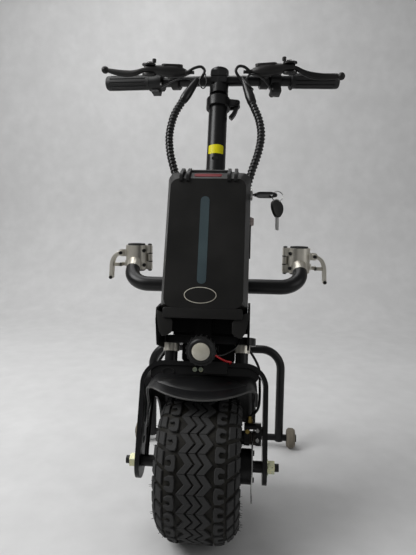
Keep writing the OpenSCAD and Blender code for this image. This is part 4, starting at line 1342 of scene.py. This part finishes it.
@dataclass
class FrontTrim:
    """Headlight bezel, wires, screws, mudguard dome and edge, calliper fittings."""

    axle_z: float = 127.0
    guard_r: float = 156.5
    guard_half: float = 95.0
    guard_corner: float = 18.0
    guard_end_deg: float = 204.0
    lip_r: float = 131.0
    skirt_r: float = 113.0
    dome_half: float = 84.0
    dome_grid: tuple[int, int] = (40, 14)
    dome_near: float = -20.0
    dome_far: Flat = (-38.0, -44.0)
    dome_rise: float = 5.5
    dome_blunt: float = 0.8
    dome_sink: float = 0.4
    bead_r: float = 1.6
    bead_steps: int = 24
    bead_sink: float = 1.4
    bezel_ring: tuple[Flat, ...] = ((-1, 15.2), (1.6, 15.6), (2.6, 16.8), (2.6, 19.4), (0.8, 21.6),
                                    (0.8, 24.4), (-6, 24.6), (-6, 23))
    fin_count: int = 18
    fin_at: Point = (-6.5, 0.0, 23.4)
    horn_wire: tuple[Point, ...] = (
        (20, -116, 178), (30, -108, 172), (40, -98, 168), (48, -86, 167), (46, -76, 165))
    lamp_wire: tuple[Point, ...] = (
        (18, -112, 176), (34, -100, 178), (52, -84, 190), (60, -66, 204), (62, -58, 214))
    plate_screws: tuple[Point, ...] = ((-17.0, -54.0, 153.0), (-6.0, -54.0, 153.0))
    hose_at: Point = (84.0, -28.2, 63.7)
    hose_nut: tuple[Flat, ...] = ((0, 0), (0, 5.5), (5, 5.5), (5, 4), (11, 4), (11, 0))
    bleed_at: Point = (80.0, -48.2, 50.0)
    bleed_nut: tuple[Flat, ...] = ((0, 0), (0, 4), (3.4, 4), (3.4, 0))
    calliper_bolts: tuple[Point, ...] = ((97.5, -48.2, 52.0), (97.5, -48.2, 36.0))

    def on_guard(self, across: float, along: float, rise: float) -> Vector:
        """Gives a point on the mudguard's outer face.

        Args:
            across: Distance from the middle.
            along: Distance along the lip's tangent, backwards negative.
            rise: Height over the face.

        Returns:
            The point in the model's frame, in millimetres.
        """
        corner = self.guard_corner
        past = max(0.0, abs(across) - self.guard_half + corner)
        radius = self.guard_r - corner + math.sqrt(max(0.0, corner ** 2 - past ** 2)) + rise
        turn = math.radians(self.guard_end_deg) + math.asin(along / radius)
        return Vector((across, radius * math.sin(turn), self.axle_z - radius * math.cos(turn)))

    def lip(self, across: float) -> float:
        """Returns the lip's setback at a distance from the middle, backwards negative."""
        return math.sqrt(self.lip_r ** 2 - across ** 2) - self.lip_r

    def dome(self) -> Mesh:
        """Makes the pressed dome on the mudguard's front.

        Returns:
            The dome in the model's frame.
        """
        mesh = bmesh.new()
        steps, rows = self.dome_grid
        bmesh.ops.create_grid(mesh, x_segments=steps, y_segments=rows, size=1)
        for vert in mesh.verts:
            across, share = self.dome_half * vert.co.x, (vert.co.y + 1) / 2
            middle = 1 - vert.co.x ** 2
            near = self.lip(across) + self.dome_near
            far = self.dome_far[0] + self.dome_far[1] * middle
            arch = max(0.0, math.sin(math.pi * share)) ** self.dome_blunt
            rise = self.dome_rise * arch * middle - self.dome_sink
            vert.co = self.on_guard(across, near + (far - near) * share, rise)
        return mesh

    def edge(self) -> list[Vector]:
        """Gives the bead's route along the mudguard's front edge.

        Returns:
            Points in metres in the model's frame.
        """
        reach = self.guard_half - 0.05
        count = self.bead_steps
        across = [reach * math.sin(QUARTER * i / count) for i in range(-count, count + 1)]
        line = [self.on_guard(x, self.lip(x), -self.bead_sink) for x in across]
        low = math.asin(self.lip(reach) / self.skirt_r) + math.radians(self.guard_end_deg)
        y, z = self.skirt_r * math.sin(low), self.axle_z - self.skirt_r * math.cos(low)
        return [p * MM for p in [Vector((-reach, y, z))] + line + [Vector((reach, y, z))]]

    def bezel(self) -> Mesh:
        """Makes the lamp's finned bezel.

        Returns:
            The bezel, facing +X.
        """
        mesh = lathe(self.bezel_ring, 64)
        for i in range(self.fin_count):
            turn = Matrix.Rotation(2 * math.pi * i / self.fin_count, 4, "X")
            join(mesh, slab(rounded(13, 2.6, 0.8, 2), 2.6, 0.5),
                 turn @ Matrix.Translation(self.fin_at))
        return mesh

    def fittings(self, bench: Workbench) -> None:
        """Makes the screws at the horn and the calliper's fittings.

        Args:
            bench: Makes the pieces.
        """
        screws, nuts, bolts = bmesh.new(), bmesh.new(), bmesh.new()
        for spot in self.plate_screws:
            join(screws, socket_screw(4.6, 4.0), forwards(*spot))
        join(nuts, lathe(self.hose_nut, 6), upright(*self.hose_at))
        join(nuts, lathe(self.bleed_nut, 6), forwards(*self.bleed_at))
        for spot in self.calliper_bolts:
            join(bolts, socket_screw(3.6, 3.4), forwards(*spot))
        for name, mesh, finish in (("plate_screws", screws, ZINC), ("hose_fitting", nuts, BRASS),
                                   ("calliper_bolts", bolts, STEEL)):
            bench.piece(name, mesh, "steering", finish, column_frame())

    def build(self, bench: Workbench) -> None:
        """Makes all the trim.

        Args:
            bench: Makes the pieces.
        """
        bench.piece("lamp_bezel", self.bezel(), "steering", NYLON, lamp_face())
        bench.tube("horn_wire", column_route(self.horn_wire, 4), 1.7, "steering", RED_WIRE)
        bench.tube("lamp_wire", column_route(self.lamp_wire, 4), 1.9, "steering", WRAP)
        bench.piece("guard_dome", self.dome(), "steering", GUARD_PP)
        # The bead's pale finish is a painted highlight along the guard's front edge
        bench.tube("guard_bead", self.edge(), self.bead_r, "steering", GUARD_EDGE_HIGHLIGHT)
        self.fittings(bench)


@dataclass
class KeyTrim:
    """Black moulded head of the hanging key."""

    ring: Point = (125.1, -78.4, 467.6)
    turn_deg: float = 45.0
    half_w: float = 18.5
    half_h: float = 17.0
    drop: float = 15.0
    taper: float = 0.2
    thick: float = 5.6
    edge: float = 1.2

    def outline(self) -> list[Flat]:
        """Gives the head's outline under the ring.

        Returns:
            Points of a drop, wider at its top.
        """
        turns = [math.radians(a) for a in range(0, 360, 10)]
        return [(self.half_w * math.cos(a) * (1 - self.taper + self.taper * math.sin(a)),
                 self.half_h * math.sin(a) - self.drop) for a in turns]

    def build(self, bench: Workbench) -> None:
        """Makes the head.

        Args:
            bench: Makes the pieces.
        """
        turn = Matrix.Rotation(math.radians(self.turn_deg), 4, "Z") @ TO_FRONT
        place = in_column(*self.ring) @ turn @ Matrix.Translation((0, 0, -self.thick / 2 * MM))
        bench.piece("key_head", slab(self.outline(), self.thick, self.edge), "hanging_key",
                    CASE_ABS, place)


@dataclass
class LeverPerches:
    """Cast perches that hold the brake levers: ring, swelling body, pivot ears and cap."""

    ring: tuple[Flat, ...] = ((38, BAR_BORE_R), (38, 16.6), (39, 17.6), (55, 17.6), (56, 16.6),
                              (56, BAR_BORE_R))
    body: tuple[Point, Point] = ((10.0, -21.0, 13.0), (104.0, -50.0, 19.0))
    body_r: tuple[Flat, ...] = (
        (0, 0), (0.01, 3.6), (0.06, 6.0), (0.14, 9.6), (0.26, 12.6), (0.46, 13.0), (0.64, 11.0),
        (0.8, 9.2), (0.95, 8.2), (1, 5.6), (1, 0))
    neck: tuple[Point, Point] = ((47, -8, 5), (56, -36, 15))
    neck_r: tuple[Flat, ...] = ((0, 0), (0, 8.6), (0.5, 9.4), (1, 9.0), (1, 0))
    ears_z: Flat = (-12.0, 8.0)
    ear_past: float = 2.0
    cap_at: Flat = (46.0, -31.5)
    cap_rise: float = 5.5
    cap_deg: float = -19.0

    def perch(self) -> Mesh:
        """Makes one perch.

        Returns:
            The perch in the lever's frame.
        """
        mesh = lathe(self.ring, 48)
        join(mesh, swell(*self.body, self.body_r, 40))
        join(mesh, swell(*self.neck, self.neck_r, 40))
        x, y, z = LEVER_PIVOT
        for low in self.ears_z:
            join(mesh, slab(oval(30, 23), 4.0, 0.9),
                 Matrix.Translation((x + self.ear_past, y, z + low)))
        cap = Matrix.Translation((*self.cap_at, z + self.cap_rise))
        join(mesh, slab(rounded(46, 19, 7.5), 6.0, 1.6),
             cap @ Matrix.Rotation(math.radians(self.cap_deg), 4, "Z"))
        return mesh

    def build(self, bench: Workbench) -> None:
        """Makes both perches, which stand for the plain mounts."""
        for side, word in SIDES:
            bench.piece(f"lever_perch_{word}", self.perch(), "bar", OXIDE, lever_frame(side), "",
                        ["lever_mounts"] if side < 0 else [])


@dataclass
class FrameTrim:
    """Flanges of the battery tray, apron of the fork, lens dome, skirt and junction box."""

    tray_y: float = -137.6
    flange: tuple[Flat, ...] = (
        (77.5, 246), (70, 243.5), (52, 232), (50, 228), (50, 212), (52, 209), (60, 204), (66, 203),
        (72, 212), (77.5, 236))
    apron_at: Point = (0.0, -51.0, 146.0)
    apron_t: float = 3.0
    grommet_at: Flat = (-66.0, 148.0)
    grommet: tuple[Flat, ...] = ((0, 5.0), (0, 6.6), (2.4, 6.6), (2.4, 5.0))
    grommet_stretch: float = 1.8
    dome: tuple[Flat, ...] = ((0, 15.0), (1.4, 14.6), (2.2, 13.0), (2.0, 12.4), (3.6, 10.2),
                              (3.4, 9.6), (4.6, 6.6), (5.2, 3.4), (5.4, 0))
    skirt_at: Point = (0.0, -138.9, 242.6)
    junction_at: Point = (4.0, -14.0, 186.0)

    def flanges(self, bench: Workbench) -> None:
        """Makes the two folded flanges beside the dark gap under the battery.

        Args:
            bench: Makes the pieces.
        """
        for side, word in SIDES:
            outline = [(side * x, z) for x, z in self.flange[::side]]
            bench.piece(f"tray_flange_{word}", slab(outline, 2.2, 0.6), "steering", CASE_ABS,
                        facing(0, self.tray_y, 0))

    def apron(self, bench: Workbench) -> None:
        """Makes the apron under the fork plate with its grommet.

        Args:
            bench: Makes the pieces.
        """
        bench.piece("fork_apron", slab(rounded(196, 27, 13), self.apron_t, 0.6), "steering",
                    POWDER, facing(*self.apron_at))
        ring = lathe(self.grommet, 36)
        x, z = self.grommet_at
        place = forwards(x, self.apron_at[1] - self.apron_t, z) @ TO_FRONT
        stretch = Matrix.Diagonal((1, 1, self.grommet_stretch, 1))
        bmesh.ops.transform(ring, matrix=place @ stretch, verts=ring.verts)
        bench.piece("apron_grommet", ring, "steering", NYLON, column_frame())

    def build(self, bench: Workbench) -> None:
        """Makes all the trim.

        Args:
            bench: Makes the pieces.
        """
        self.flanges(bench)
        self.apron(bench)
        bench.piece("lens_dome", lathe(self.dome, 56), "steering", LENS, lamp_face())
        bench.piece("battery_skirt", slab(rounded(134, 17.5, 4), 5.5, 1.0), "battery", CASE_ABS,
                    facing(*self.skirt_at))
        # Painted shade: the box takes the blackened coat and also fills the shaded gap behind the
        # lamp
        bench.piece("junction_box", slab(rounded(98, 36, 6), 22, 2.0), "steering", TRAY_SHADE_COAT,
                    facing(*self.junction_at))


@dataclass
class ClampTrim:
    """Rubber flanges, hinge details, screws and bent loop latches of the frame clamps.

    A hook block is given by its low corner and its size.
    """

    clamp: Point = (187.0, 298.3, 467.0)
    clamp_r: float = 24.7
    half_h: float = 28.0
    bore_r: float = 12.9
    flange_r: float = 20.0
    flange_t: float = 3.4
    flange_gap_deg: float = 2.0
    flange_steps: int = 24
    hinge_x: float = -31.1
    hinge_r: float = 6.25
    gap_half: float = 1.3
    gap_bore_r: float = 4.0
    head: tuple[Flat, ...] = ((0, 0), (0, 4.8), (1.6, 4.8), (3.0, 3.2), (3.4, 0))
    head_rise: float = 0.8
    screw_turn: float = -0.95
    screw_sink: float = 0.8
    screws_z: Flat = (16.0, -17.0)
    latch: Point = (32.7, 0.0, 10.0)
    legs_y: Flat = (-14.4, -1.6)
    leg_t: float = 4.0
    leg_half: float = 4.0
    leg_route: tuple[Flat, ...] = (
        (0, 0), (9, -2.5), (18, -11), (23, -26), (24, -42), (25, -57))
    eye_w: float = 13.0
    rods_w: Flat = (5.0, 9.0)
    hook: tuple[tuple[Point, Point], ...] = (
        ((2, -5.6, -32), (22, 4, 8)), ((2, -5.6, -32), (6, 21, 8)), ((-3, 10.5, -32), (7, 4.9, 8)))

    def clamp_frame(self, side: int) -> Matrix:
        """Gives a clamp's frame, with +X outwards.

        Args:
            side: -1 for the left clamp, 1 for the right.

        Returns:
            The frame's matrix; the left one is a mirror image.
        """
        x, y, z = self.clamp
        spot = Matrix.Translation(Vector((side * x, y, z)) * MM)
        return spot @ Matrix.Diagonal((side, 1, 1, 1))

    def flange(self, half: int) -> Mesh:
        """Makes the rubber flanges of one clamp half.

        Args:
            half: -1 for the front half, 1 for the jaw.

        Returns:
            The upper and the lower flange.
        """
        gap, steps = self.flange_gap_deg, self.flange_steps
        turns = [math.radians(gap + (180 - 2 * gap) * i / steps) for i in range(steps + 1)]
        outline = []
        for radius, way in ((self.flange_r, turns), (self.bore_r, reversed(turns))):
            outline += [(radius * math.cos(a), half * radius * math.sin(a)) for a in way]
        mesh = bmesh.new()
        for way in (1, -1):
            join(mesh, slab(outline, self.flange_t, 0.8),
                 Matrix.Diagonal((1, 1, way, 1)) @ Matrix.Translation((0, 0, self.half_h)))
        return mesh

    def hinge(self) -> tuple[Mesh, Mesh]:
        """Makes the details of one hinge.

        Returns:
            The dark gaps between the knuckles, and the pin's heads with two screws.
        """
        gaps, heads = bmesh.new(), bmesh.new()
        half, inner, outer = self.gap_half, self.gap_bore_r, self.hinge_r
        ring = [(-half, inner), (-half, outer), (half, outer), (half, inner), (-half, inner)]
        for height in (-self.half_h / 3, self.half_h / 3):
            join(gaps, lathe(ring, 32), upright(self.hinge_x, 0, height))
        # A round head on top, a hexagon nut below
        for way, corners in ((1, 24), (-1, 6)):
            place = upright(self.hinge_x, 0, self.half_h + self.head_rise)
            join(heads, lathe(self.head, corners), Matrix.Diagonal((1, 1, way, 1)) @ place)
        spin = Matrix.Rotation(self.screw_turn - QUARTER, 4, "Z")
        for height in self.screws_z:
            out = Matrix.Translation((self.clamp_r - self.screw_sink, 0, height))
            join(heads, socket_screw(4.2, 3.6), spin @ out)
        return gaps, heads

    def loop(self) -> Mesh:
        """Makes a latch.

        Returns:
            Two bent legs, pin, grip bar and the hook that closes behind the jaw.
        """
        mesh = bmesh.new()
        wide = self.legs_y[1] - self.legs_y[0] + self.leg_t
        leg = strip_outline(self.leg_route, self.leg_half)
        for y in self.legs_y:
            for outline in (leg, disc(self.eye_w)):
                join(mesh, slab(outline, self.leg_t, 0.8), Matrix.Translation((0, y, 0)) @ TO_FRONT)
        for (x, z), width in zip((self.leg_route[0], self.leg_route[-1]), self.rods_w):
            join(mesh, slab(disc(width), wide, 0.6),
                 Matrix.Translation((x, self.legs_y[1], z)) @ TO_FRONT)
        for (x, y, z), (width, depth, height) in self.hook:
            join(mesh, slab(rounded(width, depth, 0.8), height, 0.6),
                 Matrix.Translation((x + width / 2, y + depth / 2, z)))
        return mesh

    def build(self, bench: Workbench) -> None:
        """Makes the trim and the latches of both clamps.

        Args:
            bench: Makes the pieces.
        """
        for side, word in SIDES:
            place = self.clamp_frame(side)
            bench.piece(f"clamp_flange_{word}", self.flange(-1), "frame", GRIP_RUBBER, place)
            bench.piece(f"jaw_flange_{word}", self.flange(1), f"jaw_{word}", GRIP_RUBBER, place)
            gaps, heads = self.hinge()
            bench.piece(f"hinge_gaps_{word}", gaps, "frame", OXIDE, place)
            bench.piece(f"clamp_screws_{word}", heads, "frame", OXIDE, place)
            hang = place @ Matrix.Translation(Vector(self.latch) * MM)
            bench.piece(f"loop_latch_{word}", self.loop(), f"latch_{word}", ALUMINIUM, hang, "",
                        [f"clamp_latch_{word}"])
            pins = bmesh.new()
            for x, z in (self.leg_route[0], self.leg_route[-1]):
                join(pins, socket_screw(3.8, 2.6), forwards(x, self.legs_y[0] - self.leg_t, z))
            bench.piece(f"latch_pins_{word}", pins, f"latch_{word}", OXIDE, hang)


@dataclass
class LeverBlades:
    """Brake levers with a cranked, tapering blade and a ball end.

    A section is its middle point, half depth and half height in the lever's frame.
    """

    boss_w: float = 15.0
    boss_h: float = 9.6
    ball_r: float = 8.0
    ball_past: Point = (4.0, -0.6, 0.4)
    left: tuple[tuple[float, ...], ...] = (
        (90, -46, 18, 4, 4.6), (106, -47.6, 16.8, 5, 5), (120, -50.5, 12, 5, 6.2),
        (134, -53, 9.4, 4.6, 7), (152, -56, 9.8, 4.2, 7.2), (172, -59, 13, 3.8, 6),
        (187, -61, 16.5, 3.2, 4.4))
    right: tuple[tuple[float, ...], ...] = (
        (90, -46, 18, 4, 4.6), (106, -47.6, 16.5, 5, 5), (121, -50.6, 8, 5, 6.4),
        (135, -53, 2.5, 4.6, 7.2), (155, -56.5, -1, 4.2, 7.2), (178, -60, -2.4, 3.8, 6),
        (196, -62, -2, 3.2, 4.4))

    def blade(self, sections: Sequence[Sequence[float]]) -> Mesh:
        """Makes one lever.

        Args:
            sections: Sections of the blade from the pivot to the ball.

        Returns:
            The lever in its own frame.
        """
        mesh = loft(sections)
        x, y, z = LEVER_PIVOT
        join(mesh, slab(disc(self.boss_w), self.boss_h),
             Matrix.Translation((x, y, z - self.boss_h / 2)))
        ball = bmesh.new()
        bmesh.ops.create_uvsphere(ball, u_segments=28, v_segments=16, radius=self.ball_r)
        tip = Vector(sections[-1][:3]) + Vector(self.ball_past)
        join(mesh, ball, Matrix.Translation(tip))
        return mesh

    def build(self, bench: Workbench) -> None:
        """Makes both levers, which stand for the plain ones.

        Args:
            bench: Makes the pieces.
        """
        for (side, word), sections in zip(SIDES, (self.left, self.right)):
            node = f"brake_lever_{word}"
            bench.piece(f"lever_blade_{word}", self.blade(sections), node, OXIDE,
                        lever_frame(side), "", [node])


@dataclass
class HeightClamp:
    """Collar at the column's top with two rounded cheeks for the quick lever."""

    foot: float = 709.0
    height: float = 22.0
    bore_r: float = 20.2
    outer_r: float = 26.0
    edge: float = 1.0
    root_x: float = 18.0
    root_gap: float = 1.5
    nose_r: float = 7.0
    pin_x: float = 40.0
    pin_w: float = 5.0
    cheek_t: float = 4.0
    cheek_y: float = 9.0

    def build(self, bench: Workbench) -> None:
        """Makes the collar, which stands for the plain one.

        Args:
            bench: Makes the pieces.
        """
        high, bore, outer, edge = self.height, self.bore_r, self.outer_r, self.edge
        collar = [(0, bore), (0, outer - edge), (edge, outer), (high - edge, outer),
                  (high, outer - edge), (high, bore), (0, bore)]
        whole = bmesh.new()
        join(whole, lathe(collar, 56), upright(0, 0, self.foot))
        turns = [math.radians(a) for a in range(-80, 81, 20)]
        nose = [(self.pin_x + self.nose_r * math.cos(a), high / 2 + self.nose_r * math.sin(a))
                for a in turns]
        cheek = [(self.root_x, self.root_gap)] + nose + [(self.root_x, high - self.root_gap)]
        for y in (self.cheek_t - self.cheek_y, self.cheek_y):
            join(whole, slab(cheek, self.cheek_t, 0.8),
                 Matrix.Translation((0, y, self.foot)) @ TO_FRONT)
        middle = self.foot + high / 2
        join(whole, slab(disc(self.pin_w), 2 * self.cheek_y),
             Matrix.Translation((self.pin_x, self.cheek_y, middle)) @ TO_FRONT)
        join(whole, socket_screw(4.4, 3.0), forwards(self.pin_x, -self.cheek_y, middle))
        bench.piece("height_clamp", whole, "steering", POWDER, column_frame(), "",
                    ["height_collar"])


@dataclass
class SwitchPod:
    """Rounded switch housing on the bar, with bezels round its button and switch.

    A bar of the switch's bezel is given by its place across, its height from the row and its size.
    """

    start: float = 60.0
    length: float = 24.0
    ring_r: float = 17.6
    edge: float = 1.0
    body_deep: float = 23.0
    body_high: float = 23.0
    body_top: float = -10.0
    face_y: float = 10.0
    lip_y: float = 16.0
    lip_root: float = 3.0
    row_z: float = -24.0
    button_x: float = 67.0
    bezel_r: Flat = (4.9, 6.4)
    bezel_edge: float = 0.5
    bezel_bars: tuple[tuple[float, float, float, float], ...] = (
        (78, 4.4, 11.4, 1.6), (78, -4.4, 11.4, 1.6), (83.2, 0, 1.4, 8), (73.6, 0, 0.8, 8))

    def build(self, bench: Workbench) -> None:
        """Makes the housing, which stands for the plain pod.

        Args:
            bench: Makes the pieces.
        """
        a, b, edge, outer = self.start, self.start + self.length, self.edge, self.ring_r
        mesh = lathe([(a, BAR_BORE_R), (a, outer - edge), (a + edge, outer), (b - edge, outer),
                      (b, outer - edge), (b, BAR_BORE_R), (a, BAR_BORE_R)], 48)
        middle = ((a + b) / 2, self.face_y - self.body_deep / 2, self.body_top)
        join(mesh, slab(rounded(self.length - edge, self.body_deep, 7), self.body_high, 4.5),
             Matrix.Translation(middle) @ Matrix.Diagonal((1, 1, -1, 1)))
        reach, root, cut = self.lip_y - self.face_y, self.lip_root, self.bezel_edge
        inner, outer = self.bezel_r
        bezel = lathe([(-root, inner), (-root, outer), (reach - cut, outer), (reach, outer - cut),
                       (reach, inner), (-root, inner)], 32)
        join(mesh, bezel, Matrix.Translation((self.button_x, self.face_y, self.row_z))
             @ Matrix.Rotation(QUARTER, 4, "Z"))
        for x, z, width, height in self.bezel_bars:
            spot = Matrix.Translation((x, self.face_y - root, self.row_z + z))
            join(mesh, slab(rounded(width, height, 0.3, 2), reach + root),
                 spot @ Matrix.Rotation(-QUARTER, 4, "X"))
        bench.piece("switch_housing", mesh, "bar", NYLON, bar_frame(1), "", ["switch_pod"])


def main() -> None:
    """Builds the stage, the finishes and every piece."""
    logging.basicConfig(level=logging.INFO, format="%(name)s: %(message)s")
    Studio().set_up()
    dress_nodes()
    bench = Workbench()
    for maker in (TreadTyre(), ControlCables(), WheelCables(), Grips(), BatteryTrim(), BarTrim(),
                  FrontTrim(), KeyTrim(), LeverPerches(), FrameTrim(), ClampTrim(), LeverBlades(),
                  HeightClamp(), SwitchPod()):
        maker.build(bench)
    LOG.info("%d pieces made", len(bench.made))


if __name__ == "__main__":
    main()
